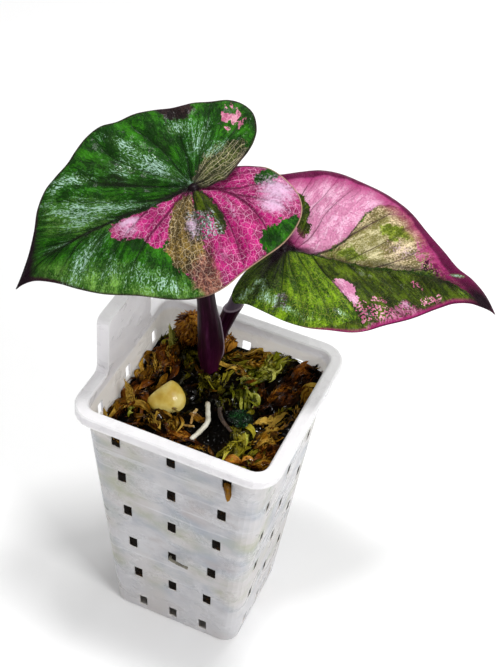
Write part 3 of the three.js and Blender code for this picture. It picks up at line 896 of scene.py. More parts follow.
LEFT_ZONES = [
    Zone("magenta", MAGENTA, [[
        (0, 1), (4, -0.2), (12, -1.0), (19, -0.8), (25, -0.1), (28.3, -0.3), (29.6, -2), (29.6, -5),
        (28, -7), (25, -8.4), (21.6, -9), (21, -11), (19.5, -13.6), (17.5, -14.7), (14.8, -13.4), (17, -24),
        (12, -30), (11, -36), (0, -36), (-30, -32), (-34, -10), (-30, 5), (-10, 6),
    ]], NEAR, 0.8),
    Zone("olive", OLIVE, [[
        (1.5, -2.2), (4, -1.8), (8.5, -3.4), (11.3, -7), (14.6, -13), (17.6, -15), (16.4, -18), (16.8, -21),
        (16, -24.6), (13.2, -25), (12.6, -29), (11, -35), (6.8, -35), (6.2, -30), (5.6, -22), (5, -17),
        (3.4, -9),
    ]], NEAR, 0.35),
    Zone("leaf_green", GREEN, [[
        (14.8, -25), (12.8, -28), (11.2, -35), (40, -30), (40, -10), (30, -5), (22, -9.3), (21.2, -11.2),
        (19.7, -14), (17.8, -15.4), (16.8, -18), (17.2, -21),
    ], [
        (-24.5, -22.2), (-20, -22), (-16.3, -23), (-13.2, -22.4), (-11.4, -25), (-10.2, -30), (-14, -33),
        (-27, -28),
    ], [
        (-27.8, -7), (-27, -5.4), (-24, -3.9), (-21.5, -4.2), (-19.2, -5.5), (-18, -7.2), (-20, -9),
        (-23, -9.6), (-26.5, -8.9),
    ]], NEAR, 0.8),
    Zone("blotch", DARK_GREEN, [[
        (0.6, -1.2), (-1.2, -1.8), (-2.8, -4.5), (-3.3, -8), (-4, -12), (-3.6, -16), (-1.8, -19.2),
        (-0.6, -17.5), (-1, -14), (-0.6, -11), (1.6, -9.6), (3, -7.5), (2.2, -4),
    ]], NEAR, 0.5),
    # Painted highlight: grey-white flecks over dark olive where the near half shines silvery.
    Zone("silver", SILVER, [[
        (-1, -10), (1.5, -9.6), (3.2, -8), (6, -8.6), (8, -11.5), (8, -15), (5.4, -17.4), (1.5, -18.2),
        (-1.8, -19), (-2.6, -17), (-1.6, -13.5),
    ]], NEAR, 0.7, 0.62),
    Zone("striped", STRIPED, [[
        (0.5, 1.2), (-3, 3.6), (-8, 8.2), (-12, 9.8), (-17, 9), (-21.5, 7.4), (-19, 3.5), (-14, -1),
        (-6, -4), (-1, -4),
    ]], FAR, 0.5),
    Zone("bronze", BRONZE, [[
        (-11.5, 23.4), (-8.2, 20.4), (-4, 21.4), (-1.2, 23.8), (-0.4, 28), (-5, 28), (-10.5, 27),
    ]], FAR, 0.5, 1.0, 0.7),
    Zone("fresh", FRESH, [[
        (54, -3), (46, -6), (37, -11), (30, -15.5), (25, -20), (20, -24), (15, -28.5), (10, -36), (22, -38),
        (44, -26), (58, -8),
    ], [
        (30, 0.4), (38, 3), (46, 7), (44, 13), (36, 10.5), (26, 6),
    ]], None, 1.0, 1.0, 4.0),
    Zone("rose_tan", ROSE_TAN, [[
        (4, -20), (8, -21.5), (13, -25), (14, -30), (11, -36), (6, -36), (5, -28),
    ]], NEAR, 0.6, 1.0, 1.4),
    Zone("blush", BLUSH, [[
        (-23.5, 17.2), (-23.8, 15), (-21.2, 13.4), (-19.9, 13), (-20.2, 14.8), (-18, 14.4), (-17.3, 15.6),
        (-18.6, 18.2), (-20.8, 16.2), (-22.2, 15.9),
    ], [
        (-25, 13.6), (-22.4, 13.2), (-20.7, 11.4), (-23.2, 12.4),
    ], [
        (-23, 19.6), (-22.6, 17.8), (-21.9, 17.6), (-22.5, 19.4),
    ], [
        (-21.2, 20.1), (-20.6, 18.6), (-20, 18.8), (-20.5, 20),
    ], [
        (-18.8, 12.4), (-17.6, 11.9), (-17.4, 13.2),
    ]], FAR, 0.12),
]
LEFT_FAR_EDGE = [
    (0, 0), (-1.2, -1.4), (-3, -2.2), (-5, -2.0), (-7, -1.1), (-10, 0.2), (-13, 1.3), (-17, 3),
    (-20.8, 4.6), (-24, 6.6), (-26.5, 9.3), (-27.9, 14), (-26.4, 18.1), (-23, 21.2), (-17, 23.2), (-12, 25),
    (-5, 26), (0, 27.6), (6.5, 29.2), (12.5, 29.3), (17.7, 30.2), (23, 29), (28, 26.4), (32.2, 23.7),
    (37.5, 21.5), (42, 19.4), (46.7, 15.1), (50.5, 9.5), (55, 4), (59.4, 0), (63.5, -3.4),
]
LEFT_NEAR_EDGE = [
    (0, 0), (-2.5, -0.4), (-6, 0.2), (-10, 0.7), (-14, 0.8), (-17.3, 0), (-20.8, -1.7), (-24.3, -3.9),
    (-26.5, -7.3), (-28.2, -11.8), (-29.1, -16.4), (-28.2, -20.8), (-25.7, -24.3), (-20.5, -27.8),
    (-15.8, -29.6), (-9.7, -30.7), (-1.6, -32.2), (4.7, -33.8), (10, -34.1), (15.2, -33.1), (21.7, -30.2),
    (30.5, -24.5), (39.8, -19), (46.2, -13.7), (51, -8.9), (57, -4.4), (60.6, -3.4), (63.5, -3.4),
]
LEFT_FAR_RIBS = [
    Rib([(41, 1), (47, 2.6), (53, 4.4)], 0.22),
    Rib([(31, 0.9), (38, 2.6), (45, 5.2), (51, 7.6)], 0.26),
    Rib([(20, 0), (29, 2.5), (37, 5.6), (44, 9), (48.6, 11)], 0.3),
    Rib([(9, -0.2), (18, 2.7), (27, 7), (35, 11.6), (41, 14.6), (45.4, 15.4)], 0.34),
    Rib([(0.5, 0.1), (6, 2.5), (14, 6.3), (21, 10), (26, 13.5), (29.5, 17), (32, 20.5), (34, 22)], 0.42),
    Rib([(0.3, 0.2), (3, 3), (7, 6.6), (12, 10.8), (16.4, 15.4), (19.5, 20.5), (21, 27)], 0.4),
    Rib([(0.1, 0.3), (1.6, 6), (3, 12), (5.2, 18), (8.2, 24), (9.5, 28)], 0.34),
    Rib([(0, 0.3), (-0.9, 4), (-2.2, 9), (-3, 14.5), (-4.2, 20), (-5.6, 25)], 0.4),
    Rib([(-0.1, 0.3), (-3, 3.2), (-6, 7.6), (-9.4, 12.4), (-13, 16.6), (-16.5, 21.5)], 0.38),
    Rib([(-0.2, 0.2), (-3.5, 2.6), (-8, 5.8), (-14, 8.6), (-20, 11.4), (-25.5, 13.5)], 0.34),
    Rib([(-0.3, 0), (-4, 0.4), (-9, 2.6), (-15, 3.5), (-19.5, 5.4)], 0.26),
]
LEFT_NEAR_RIBS = [
    Rib([(44, 0.7), (50, -1.6), (54.5, -4)], 0.2),
    Rib([(35, 0.8), (42, -2), (48, -5.6), (51.2, -8)], 0.24),
    Rib([(25, 0.3), (33, -2.8), (40, -7), (46, -12)], 0.28),
    Rib([(14, -0.3), (22, -3.4), (29, -7.2), (36, -12.4), (40.5, -17)], 0.3),
    Rib([(1, -0.2), (6, -2.2), (12.3, -5.6), (18, -8.3), (23, -11.6), (29, -16.4), (33.5, -21)], 0.5),
    Rib([(0.6, -0.4), (4, -3.2), (8, -7), (12, -13), (15, -19), (17.6, -25), (19, -30)], 0.24),
    Rib([(0.4, -0.5), (1.6, -4), (3.2, -9), (4.5, -14), (5.4, -20), (6, -26), (7.2, -32.5)], 0.3),
    Rib([(0, -0.6), (-1.4, -2.6), (-3.3, -6.4), (-4.3, -11), (-4.6, -16), (-4.2, -22), (-3, -30)], 0.42),
    Rib([
        (-0.2, -0.5), (-3.5, -2.2), (-7, -4.5), (-10, -8), (-12.6, -12.7), (-14, -17.2), (-14.4, -22),
        (-13.6, -28),
    ], 0.62),
    Rib([(-9.6, -7.5), (-14, -10.6), (-18, -13.7), (-21.4, -17), (-24, -21)], 0.3),
    Rib([(-6.5, -4.2), (-13, -6.8), (-17, -7.6), (-20.3, -9), (-24, -10.6), (-27, -13)], 0.32),
    Rib([(-1, -0.6), (-7, -1.4), (-13, -2), (-18, -3), (-22.5, -5)], 0.24),
]
# Painted highlights of the nearer blade: where its wax shines, and one glint at the junction.
LEFT_SHEEN = [
    Spot(7, 9.5, 9, 2.4, 52, 1.1), Spot(13, 19, 8, 2.6, 58, 1.0), Spot(-4, 18.6, 4.6, 2.4, 15, 1.1),
    Spot(-8, 12.5, 6, 2.6, -38, 0.95), Spot(17, 13.5, 3.6, 3.2, 30, 0.8), Spot(33, 18, 6.5, 1.8, 22, 1.1),
    Spot(39, 17.5, 5, 1.6, -25, 1.0), Spot(26, 4.3, 9, 2.0, 17, 1.05), Spot(37, 5.2, 6.5, 2.2, 12, 0.9),
    Spot(38, 9.6, 6, 1.8, 20, 0.8), Spot(27, -19.5, 9, 3.6, 34, 0.85), Spot(22, -26, 6.5, 2.6, 30, 0.8),
    Spot(40, -5, 8, 2.2, -25, 0.55), Spot(36, -13.5, 6, 1.7, -40, 0.6), Spot(46, 1.6, 4, 0.9, 5, 0.7),
    Spot(42, -9, 9, 4, -28, 0.7), Spot(36, 11, 8, 3, 20, 0.6), Spot(-12, 9, 5, 1.6, -12, 0.8),
    Spot(0.2, 0.9, 0.7, 0.9, 0, 1.6),
]
# Pale patches of the nearer blade: partly tissue without pigment, partly painted highlight where the lobe
# and the magenta sector shine.
LEFT_PALE = [
    Spot(-23.5, -13, 6.6, 4.6, 35, 0.95), Spot(23.3, -1.8, 3.8, 1.1, 5, 1.0),
    Spot(24, -4.6, 4, 2.0, 10, 0.6), Spot(-19, -17, 4.4, 2.4, 35, 0.7),
    Spot(6.0, -12.5, 2.2, 4.0, 12, 0.62), Spot(-7.5, -13.5, 1.4, 3.4, 10, 0.4),
    Spot(1.5, -24, 2.8, 2.2, 0, 0.3),
]
# Painted shade at the junction, along the midrib, under the overlapping far lobe and in the folds, together
# with the dark pigment of the tip and the far edge.
LEFT_SHADE_AND_DARK_TIP = [
    Spot(0.5, -1.2, 3.4, 1.6, -20, 1.0), Spot(6, -0.4, 6, 0.9, 0, 0.8), Spot(-8, 1.6, 6.0, 0.9, 8, 0.45),
    Spot(22, 11.5, 9, 1.6, 30, 0.5), Spot(2.5, 16.5, 1.6, 4, 0, 0.4), Spot(61, -2, 6, 3.2, -25, 1.3),
    Spot(54.5, 4.2, 6.5, 1.9, -48, 1.1), Spot(30, 0.9, 26, 0.5, 1, 0.85), Spot(19, 14.5, 9, 3.4, 38, 0.5),
]


def left_blade() -> LeafBlade:
    """Describe the nearer blade: green, with a magenta and olive sector on its near half."""
    return LeafBlade(
        name="leaf_left", node="blade_left",
        pose=BladePose(
            (-15.5, 10, 181), 227.5, 16.5, 31, -1, 10, 4, 2, 70, 28, Lift(0.2, 0.0055), Lift(0.2, 0.0055),
            overlap=3.5, lobe_lift=2.5, lobe_sink=1.5,
        ),
        midrib=[(0, 0), (10, -0.3), (20, 0), (30, 0.8), (40, 1.0), (50, 0.3), (56, -1), (63.5, -3.4)],
        far_edge=LEFT_FAR_EDGE, near_edge=LEFT_NEAR_EDGE, far_ribs=LEFT_FAR_RIBS, near_ribs=LEFT_NEAR_RIBS,
        ground=GREEN, zones=LEFT_ZONES, margin=margin_left, margin_colour="#1c0a12", margin_light="#3c1428",
        # Painted light: an edge highlight, the sheen's tint and the sheen spots; painted shade, with the
        # dark tip and edge, in the shade spots.
        painted_edge_light="#c8a68a", film="#4c8030", sheen=LEFT_SHEEN, pale=LEFT_PALE, shade=LEFT_SHADE_AND_DARK_TIP, seed=2.3,
    )


RIGHT_ZONES = [
    Zone("pink", PINK, [[
        (-2, 0.4), (10, 0.6), (14, 3), (17.5, 6.6), (20, 9.7), (21.7, 14), (23.7, 19), (27, 23), (31, 25.2),
        (36.5, 24), (41, 21.2), (44.5, 17.6), (48, 13), (54, 9), (60, 8), (62, 12), (45, 28), (20, 40),
        (-10, 38), (-26, 20), (-26, -4), (-8, -3),
    ]], FAR, 0.35),
    Zone("cream", CREAM, [[
        (10.2, 0.8), (14, 3.1), (17.5, 6.7), (20, 9.8), (21.7, 14.1), (23.7, 19), (27, 23), (31, 25),
        (36.5, 23.8), (41, 21), (44, 17.6), (46, 13), (47.6, 8.6), (46, 5.4), (38, 3.6), (31, 1.6),
        (20, 0.4),
    ]], FAR, 0.7),
    Zone("sage", SAGE, [[
        (12, 1.2), (17, 5), (20.5, 9.6), (25, 14.8), (28, 18), (31, 20.8), (33.5, 22.4), (32, 18),
        (33.5, 13.5), (31.5, 9), (31, 5.6), (36, 4.2), (30, 1.4), (20, 0.6),
    ], [
        (33, 22), (38, 21.4), (41.5, 19), (40, 17), (36, 18.6),
    ]], FAR, 1.2, 1.0, 1.0),
    Zone("mossy", MOSSY, [[
        (28.5, 15.6), (31, 17.2), (34, 18.2), (37, 18.4), (39.8, 17.2), (40.8, 14.8), (39, 13.4),
        (36.5, 14.2), (35, 12.2), (32, 13.2), (29.5, 13),
    ], [
        (42.6, 17.8), (44.4, 16.4), (43.7, 14), (42.3, 15.6),
    ], [
        (14, 2.2), (19, 2), (24, 2.4), (27, 4.2), (21, 6), (18, 5.4),
    ]], FAR, 0.8, 1.0, 0.9),
    Zone("blush", BLUSH, [[
        (42.5, 15), (48, 13.2), (54, 9.6), (58, 7.4), (52, 5.8), (46, 6.2), (42.5, 9),
    ]], FAR, 0.7, 0.75),
    Zone("umber", BRONZE, [[(46, 10), (50, 9.5), (55, 7.5), (57, 5.8), (46, 5.6)]], FAR, 0.9, 0.5),
    Zone("strip", DARK_GREEN, [[
        (0, 20.5), (2.6, 19.9), (3, 17.6), (5, 16.5), (5.6, 14), (5, 10.9), (6.9, 10.3), (6.7, 7.2),
        (5, 5.2), (3, 6), (1, 10), (-1, 14), (-3, 18),
    ], [
        (-12, 22), (-8, 24), (-6, 20), (-9, 14), (-13, 15),
    ]], FAR, 0.35),
    Zone("dusk", DARK_GREEN, [[
        (10, -0.9), (14, -5.6), (19, -10.1), (25, -16), (29, -21.5), (34, -24), (48, -14), (62, 0), (58, 6),
        (40, 5), (30, 2.4), (20, 1.6),
    ], [
        (28, -21), (31, -24), (20, -30), (10, -31), (16, -27.4), (22, -25),
    ]], NEAR, 0.5),
    Zone("rosy", PINK, [[
        (17, -8.6), (19.5, -7.3), (21.6, -8.3), (24, -8.3), (25.4, -10), (25.6, -12.3), (26.8, -13.2),
        (25.8, -15.8), (22.5, -13.4), (19.5, -10.6),
    ]], NEAR, 0.35),
    Zone("rose_net", ROSE_NET, [[
        (30, -24.4), (32.5, -20.6), (36, -18), (38, -13), (40.5, -10), (43, -8.4), (45, -9.6), (47.5, -9),
        (51, -9), (46, -15), (38, -20),
    ]], NEAR, 0.7, 0.8, 0.5),
    Zone("net_pink", BLUSH, [[
        (25, -16), (28, -14.4), (31, -15.4), (34, -12.6), (37, -13.5), (37, -17), (33, -20), (29.5, -21),
        (27, -18.8),
    ], [
        (30, -12), (34, -10), (37, -11), (35, -13),
    ], [
        (43.5, 0.4), (46, 0.6), (47, -1.5), (44.5, -1.6),
    ], [
        (47.5, -4.8), (51, -3), (54, -1), (55, -3), (51, -6.6), (48, -7),
    ]], NEAR, 0.9, 0.38),
    Zone("lobe_green", LOBE, [[
        (-14, -27), (-14, -18), (-8, -4), (-2, 0), (0.4, -4), (0.4, -9), (0.8, -14), (0.6, -17.6),
        (-2.4, -18.6), (-5, -20.6), (-6, -27),
    ]], NEAR, 0.8),
    Zone("pewter", SILVER, [[
        (0.6, -19), (3, -18.8), (4.6, -20.4), (4.2, -23.4), (4.9, -25.8), (2.8, -24.2), (0.6, -24.6),
    ]], NEAR, 0.3, 0.85),
]
RIGHT_FAR_EDGE = [
    (0, 0), (-3, 0.9), (-7, 1.4), (-12, 2.8), (-17, 5.5), (-20, 10), (-19.2, 17), (-13, 23.5), (-6.1, 26.7),
    (-0.3, 29.9), (5.7, 32.6), (13.4, 33.1), (22.1, 31.6), (29.5, 29.7), (38.2, 25), (45.5, 19.4),
    (52.6, 14.3), (58.1, 11), (63.9, 9.3), (70.4, 5.9), (75, 2),
]
RIGHT_NEAR_EDGE = [
    (0, 0), (-3.5, -1.6), (-7, -6), (-10.4, -12), (-12.5, -18), (-13.2, -23), (-12, -26), (-7.8, -25.5),
    (-1.5, -26.9), (4.8, -28.3), (12, -28.5), (19.1, -27.4), (26.7, -26), (31.4, -23.9), (37.1, -19.9),
    (45.6, -13.7), (54, -5.9), (59.1, -1.5), (64.4, 1), (68.5, 1.7), (72.8, 2.1), (75, 2),
]
RIGHT_FAR_RIBS = [
    Rib([(52, 4.8), (56, 6.8), (60, 8.2)], 0.2),
    Rib([(41, 3.6), (47, 6.8), (52.5, 10), (55, 11.6)], 0.24),
    Rib([(30, 1.5), (37, 6), (43, 11), (48, 15)], 0.26),
    Rib([(20, 0.9), (27, 6.6), (34, 13), (39, 18), (42, 20)], 0.22),
    Rib([
        (9.5, 0.7), (14, 3.1), (17.5, 6.6), (20, 9.7), (25, 15), (29, 19), (31.8, 21.6), (36, 22.8),
    ], 0.42),
    Rib([(19.2, 8.9), (21.5, 14), (23.6, 19), (26.6, 22.9), (30, 25)], 0.2),
    Rib([(3, 0.5), (7, 5.4), (9, 10), (10.2, 14.6), (13.7, 21), (18.7, 29)], 0.22),
    Rib([(1.2, 0.4), (3.6, 5), (4.8, 9), (5.6, 15.3), (8.7, 21.7), (12, 29.5)], 0.22),
    Rib([(0.3, 0.3), (0.5, 6), (0.3, 12), (1, 18), (2.5, 24), (4, 29)], 0.4),
    Rib([(-0.5, 0.3), (-4, 7), (-6.4, 14), (-7, 21), (-5.4, 25.5)], 0.3),
    Rib([(-1, 0.3), (-7, 4), (-12.4, 9), (-16, 15)], 0.28),
]
RIGHT_NEAR_RIBS = [
    Rib([(55, 5), (59, 2.8), (62, 1.2)], 0.18),
    Rib([(45, 4.2), (50, 0.6), (54, -3)], 0.22),
    Rib([(34, 2.3), (40, -2.5), (46, -7), (49, -8.6)], 0.24),
    Rib([(21, 0.9), (28, -4.5), (35, -9.5), (41, -13.5), (43.5, -14.2)], 0.24),
    Rib([(9, 0.6), (14, -5.3), (19, -10), (25, -16), (28, -19.5), (30, -23.2)], 0.44),
    Rib([(3.5, 0.4), (8, -6), (12, -12), (16, -18), (19, -23), (20.5, -26.5)], 0.24),
    Rib([(1, -0.3), (3.5, -8), (6.5, -14), (9, -20), (10.5, -25), (11, -28)], 0.24),
    Rib([(0.3, -0.5), (0.9, -9), (1.5, -14), (1.8, -20), (1, -26)], 0.4),
    Rib([(-0.3, -0.5), (-3.5, -8), (-5, -14), (-5.8, -20), (-6, -25)], 0.26),
    Rib([(-0.8, -0.5), (-6, -8.5), (-9, -14), (-11, -19), (-11.6, -23)], 0.26),
]
# Painted highlights of the farther blade: glints on its near lobe and near half, and one near the tip.
RIGHT_SHEEN = [
    Spot(-1.5, -22.5, 2.8, 1.8, 20, 1.2), Spot(22.5, -20.8, 3.4, 1.2, -20, 0.9),
    Spot(58.5, 8.3, 2.6, 0.5, 14, 1.4), Spot(-8.2, -21, 2.4, 1.2, 50, 1.25),
    Spot(-5.6, -16, 1.9, 1.0, 50, 1.2), Spot(-3.4, -18.8, 1.4, 2.4, 10, 0.8),
    Spot(-9.8, -24, 1.6, 0.8, 20, 0.9), Spot(6.4, -24.6, 5, 1.2, -8, 0.8),
]
RIGHT_PALE = [
    Spot(12, 15, 9, 5, 60, 0.2), Spot(24, 21, 3, 2.4, 60, 0.2), Spot(38, 10, 5, 3, 10, 0.4),
    Spot(42.5, -10, 2.4, 1.4, 20, 0.5),
]
# Painted shade at the junction and along the midrib, together with the dark pigment of the tip.
RIGHT_SHADE_AND_DARK_TIP = [
    Spot(-1.5, -1.5, 3.4, 4.4, -30, 1.0), Spot(-3.2, -7, 1.6, 5.5, -22, 0.9), Spot(4, 1.0, 7, 0.9, 5, 0.95),
    Spot(38, 4.4, 12, 0.9, 10, 0.8), Spot(0, 4, 2, 3, -30, 0.6), Spot(54, 4.6, 8, 1.4, 6, 0.6),
    Spot(69, 3.6, 7, 3.2, -8, 1.3),
]


def right_blade() -> LeafBlade:
    """Describe the farther blade: pink and cream on its far half, green on its near half."""
    return LeafBlade(
        name="leaf_right", node="blade_right",
        pose=BladePose((12, 25.5, 155), 14.5, 6, 22, 1, 8, 6, 4, 76, 30, Lift(0.4, 0.01), Lift(0.5, 0.009)),
        midrib=[(0, 0), (5, 0.6), (10, 0.7), (18.5, 0.8), (30, 1.5), (37, 2.9), (45, 4.2), (56, 5.1),
                (66, 4.8), (75, 2)],
        far_edge=RIGHT_FAR_EDGE, near_edge=RIGHT_NEAR_EDGE, far_ribs=RIGHT_FAR_RIBS,
        near_ribs=RIGHT_NEAR_RIBS, ground=BRIGHT_GREEN, zones=RIGHT_ZONES, margin=margin_right,
        # Painted light: the sheen's tint and the sheen spots; painted shade, with the dark tip, in the shade
        # spots.
        margin_colour="#38081f", margin_light="#7c1450", flush="#a01c68", film="#7c9a54", sheen=RIGHT_SHEEN,
        pale=RIGHT_PALE, shade=RIGHT_SHADE_AND_DARK_TIP, seed=5.1,
    )


# Round pieces: stalks, roots, the corm


@dataclass
class Sweep:
    """A round piece along a smooth line, closed at both ends, in millimetres."""

    line: Points
    radii: Sequence[float]
    sides: int = 24
    step: float = 0.5
    facing: Place | None = None
    end_rings: tuple[float, ...] = (0.35, 0.7, 0.92)
    path: Array = field(init=False, repr=False)
    along: Array = field(init=False, repr=False)
    angle: Array = field(init=False, repr=False)

    def frames(self) -> tuple[Array, Array]:
        """Give two directions square to the line at each of its samples.

        Returns:
            The direction of angle 0 and the direction of a quarter turn, one row a sample.
        """
        ahead = unit(np.gradient(self.path, axis=0))
        first = np.empty_like(ahead)
        hint = np.array(self.facing or (0.31, 0.52, 0.79), float)
        for i, way in enumerate(ahead):
            square = hint - (hint @ way) * way
            first[i] = square / np.linalg.norm(square)
            hint = hint if self.facing else first[i]
        return first, np.cross(ahead, first)

    def build(self, name: str, shape: Callable | None = None) -> Piece:
        """Make the piece.

        Args:
            name: The piece's name.
            shape: Takes the millimetres along and the angle of each vertex and gives what to add
                to its radius.

        Returns:
            The new object, with the distance along and the direction around kept at its vertices.
        """
        self.path = smooth_line(self.line, self.step)
        count = len(self.path)
        profile = smooth_line([(float(i), r) for i, r in enumerate(self.radii)], 0.02)
        share = np.linspace(0, len(self.radii) - 1, count)
        radius = np.interp(share, profile[:, 0], profile[:, 1])
        first, second = self.frames()
        length = np.linspace(0, np.linalg.norm(np.diff(self.path, axis=0), axis=1).sum(), count)
        rings = [(0, -r, k) for k, r in self.end_caps(radius[0])]
        rings += [(i, 0.0, 1.0) for i in range(count)]
        rings += [(count - 1, r, k) for k, r in reversed(self.end_caps(radius[-1]))]
        turn = np.linspace(0, 2 * math.pi, self.sides, endpoint=False)
        ahead = np.cross(first, second)
        places, along, angle = [], [], []
        for i, push, scale in rings:
            extra = shape(np.full(self.sides, length[i]), turn) if shape else 0.0
            reach = (radius[i] + extra) * scale
            ring = np.outer(np.cos(turn) * reach, first[i]) + np.outer(np.sin(turn) * reach, second[i])
            places.append(self.path[i] + push * ahead[i] + ring)
            along.append(np.full(self.sides, length[i] + push))
            angle.append(turn)
        tips = [self.path[0] - 0.75 * radius[0] * ahead[0], self.path[-1] + 0.75 * radius[-1] * ahead[-1]]
        self.along = np.concatenate([*along, [0.0, length[-1]]])
        self.angle = np.concatenate([*angle, [0.0, 0.0]])
        piece = make_mesh(name, np.vstack([*places, *tips]), self.faces(len(rings)))
        around = np.column_stack([np.cos(self.angle), np.sin(self.angle), 0 * self.angle])
        store(piece, along=self.along, around=around)
        return piece

    def end_caps(self, radius: float) -> list[tuple[float, float]]:
        """Give the scale and the push of each ring that rounds off an end."""
        return [(k, 0.75 * radius * math.sqrt(1 - k * k)) for k in self.end_rings]

    def faces(self, rings: int) -> list:
        """Join the rings and close both ends."""
        n = self.sides
        quads = [
            [r * n + i, r * n + (i + 1) % n, (r + 1) * n + (i + 1) % n, (r + 1) * n + i]
            for r in range(rings - 1)
            for i in range(n)
        ]
        foot, top = rings * n, rings * n + 1
        last = (rings - 1) * n
        ends = [[foot, (i + 1) % n, i] for i in range(n)]
        ends += [[top, last + i, last + (i + 1) % n] for i in range(n)]
        return quads + ends


@dataclass
class LeafStalk:
    """A leaf stalk whose foot is wrapped in its own sheath, with the sheath's thin edge standing."""

    name: str
    node: str
    line: Points
    radii: Sequence[float]
    edge_azimuth: float
    edge_span: tuple[float, float]
    edge_height: float = 0.45
    lap_angle: float = 1.2
    mouth: float = 0.0

    def build(self) -> Piece:
        """Build the stalk with its sheath edge and dress it."""
        azimuth = math.radians(self.edge_azimuth)
        facing = (math.cos(azimuth), math.sin(azimuth), 0.0)
        sweep = Sweep(self.line, self.radii, 96, 0.4, facing)
        piece = sweep.build(self.name, self.shape)
        past = self.past_mouth(sweep.along, sweep.angle)
        lip = np.exp(-((past / 0.3) ** 2)) if self.mouth else 0.0
        # Painted sheen: a grey-purple band just past the sheath's slanting mouth.
        wax = ease(past, 0, 0.8) * (1 - ease(past, 10, 15)) * (self.mouth > 0)
        top = sweep.along.max()
        edge = np.maximum(self.edge(sweep.along, sweep.angle), lip)
        # The top marks where painted shade darkens the stalk under the blade.
        store(piece, edge=edge, wax=wax, top=ease(sweep.along, top - 9, top - 3))
        seat(piece, StalkSkin(self.name), self.node, "stalk")
        return piece

    def edge(self, along: Array, angle: Array) -> Array:
        """Give how near each vertex is to the sheath's standing edge, from 0 to 1."""
        low, high = self.edge_span
        shift = 0.35 * np.sin((along - low) / (high - low) * math.pi)
        off = np.angle(np.exp(1j * (angle - shift)))
        there = ease(along, low, low + 4) * (1 - ease(along, high - 5, high))
        return there * np.exp(-((off / 0.10) ** 2))

    def past_mouth(self, along: Array, angle: Array) -> Array:
        """Give how many millimetres past the sheath's slanting mouth each vertex is."""
        return along - self.mouth + 2.3 * np.cos(angle - 0.93)

    def shape(self, along: Array, angle: Array) -> Array:
        """Give what the sheath's edge, its lap, its mouth and the faint ribs add to the radius."""
        low, high = self.edge_span
        off = np.angle(np.exp(1j * angle))
        there = ease(along, low, low + 5) * (1 - ease(along, high - 6, high))
        lap = 0.28 * there * ease(off, -0.05, 0.12) * (1 - ease(off, 0.4, self.lap_angle + 1.0))
        ribs = 0.018 * np.cos(17 * angle + 0.05 * along) + 0.012 * np.cos(29 * angle)
        past = self.past_mouth(along, angle)
        flare = 0.5 * np.exp(-((np.minimum(past, 0) / 3.5) ** 2)) * (1 - ease(past, -0.2, 0.4))
        wrap = flare - 0.15 * ease(past, -0.3, 0.3) if self.mouth else 0.0
        return self.edge_height * self.edge(along, angle) + lap + ribs + wrap


class StalkSkin(Finish):
    """Waxy stalk skin, grown: near-black purple with long paler streaks that are partly painted sheen, a
    painted sheen band past the sheath's mouth, a pale edge, and painted shade at the top.
    """

    def __init__(self, name: str) -> None:
        """Build the streaks along the stalk from its own along and around values."""
        super().__init__(f"waxy_stalk_{name}", "around", "along", "edge", "wax", "top")
        around, along, edge, wax, top = self.kept.values()
        up = self.add("CombineXYZ", z=self.add("Math MULTIPLY", along, 0.028))
        place = self.add("VectorMath ADD", around, up)
        streak = self.add("TexNoise", place, scale=1.6, detail=3, roughness=0.5)
        fine = self.add("TexNoise", place, scale=14, detail=3, roughness=0.5)
        slight = self.add("Math MULTIPLY", fine, 0.3)
        both = self.add("Math ADD", streak, slight)
        share = self.add("MapRange", both, from_=(0.45, 0.95))
        # The paler streaks are partly painted sheen over the skin's own streaky tone.
        body = self.add(
            "ValToRGB", share,
            stops=[(0.0, "#17040f"), (0.45, "#2a0b1f"), (0.75, "#401634"), (1.0, "#5a3450")],
        )
        foot = self.add("MapRange", along, from_=(2, 30), to=(0.75, 0))
        flush = self.add("Math MULTIPLY", foot, streak)
        body = self.add("Mix", flush, body, "#640e40")
        # Painted sheen in the band past the mouth, painted shade at the top under the blade, then the
        # sheath's own pale edge.
        for mask, share, code in ((wax, 0.75, "#75687a"), (top, 1, "#14070e"), (edge, 0.85, "#b9a7b6")):
            body = self.add("Mix", self.add("Math MULTIPLY", mask, share), body, code)
        self.surface(base_color=body, roughness=0.36, ior=1.4, specular_ior_level=0.12)
        self.surface(coat_weight=0.05, coat_roughness=0.14)
        self.surface(normal=self.add("Bump", height=fine, strength=0.15, distance=0.0002))


@dataclass(frozen=True)
class RootLook:
    """How one kind of root is coloured: its two body tones, its speck tone and its gloss."""

    name: str
    deep: str
    light: str
    tip: str
    roughness: float = 0.4
    speck: float = 0.3


class RootSkin(Finish):
    """Root skin, grown: matt to moist, with cross wrinkles, specks of soil and a paler tip."""

    def __init__(self, look: RootLook) -> None:
        """Build the skin from how far along the root a place is."""
        super().__init__(f"moist_root_{look.name}", "along")
        place = self.add("TexCoord", output="Object")
        along = self.kept["along"]
        mottle = self.add("TexNoise", place, scale=900, detail=4)
        coarse = self.add("TexNoise", place, scale=260, detail=3)
        both = self.add("Math ADD", mottle, coarse)
        share = self.add("MapRange", both, from_=(0.75, 1.25))
        colour = self.add("Mix", share, look.deep, look.light)
        head = self.add("MapRange", along, from_=(0, 4.5), to=(0.85, 0))
        colour = self.add("Mix", head, colour, look.tip)
        specks = self.add("MapRange", mottle, from_=(0.62, 0.66), to=(0, look.speck))
        colour = self.add("Mix", specks, colour, "#2a1a0c")
        self.surface(base_color=colour, roughness=look.roughness, ior=1.4)
        self.surface(coat_weight=0.25, coat_roughness=0.15)
        rings = self.add("TexNoise", w=along, scale=2.6, detail=3, noise_dimensions="1D")
        bump = self.add("Bump", height=rings, strength=0.35, distance=0.0002)
        self.surface(normal=self.add("Bump", height=mottle, strength=0.3, distance=0.0002, normal=bump))


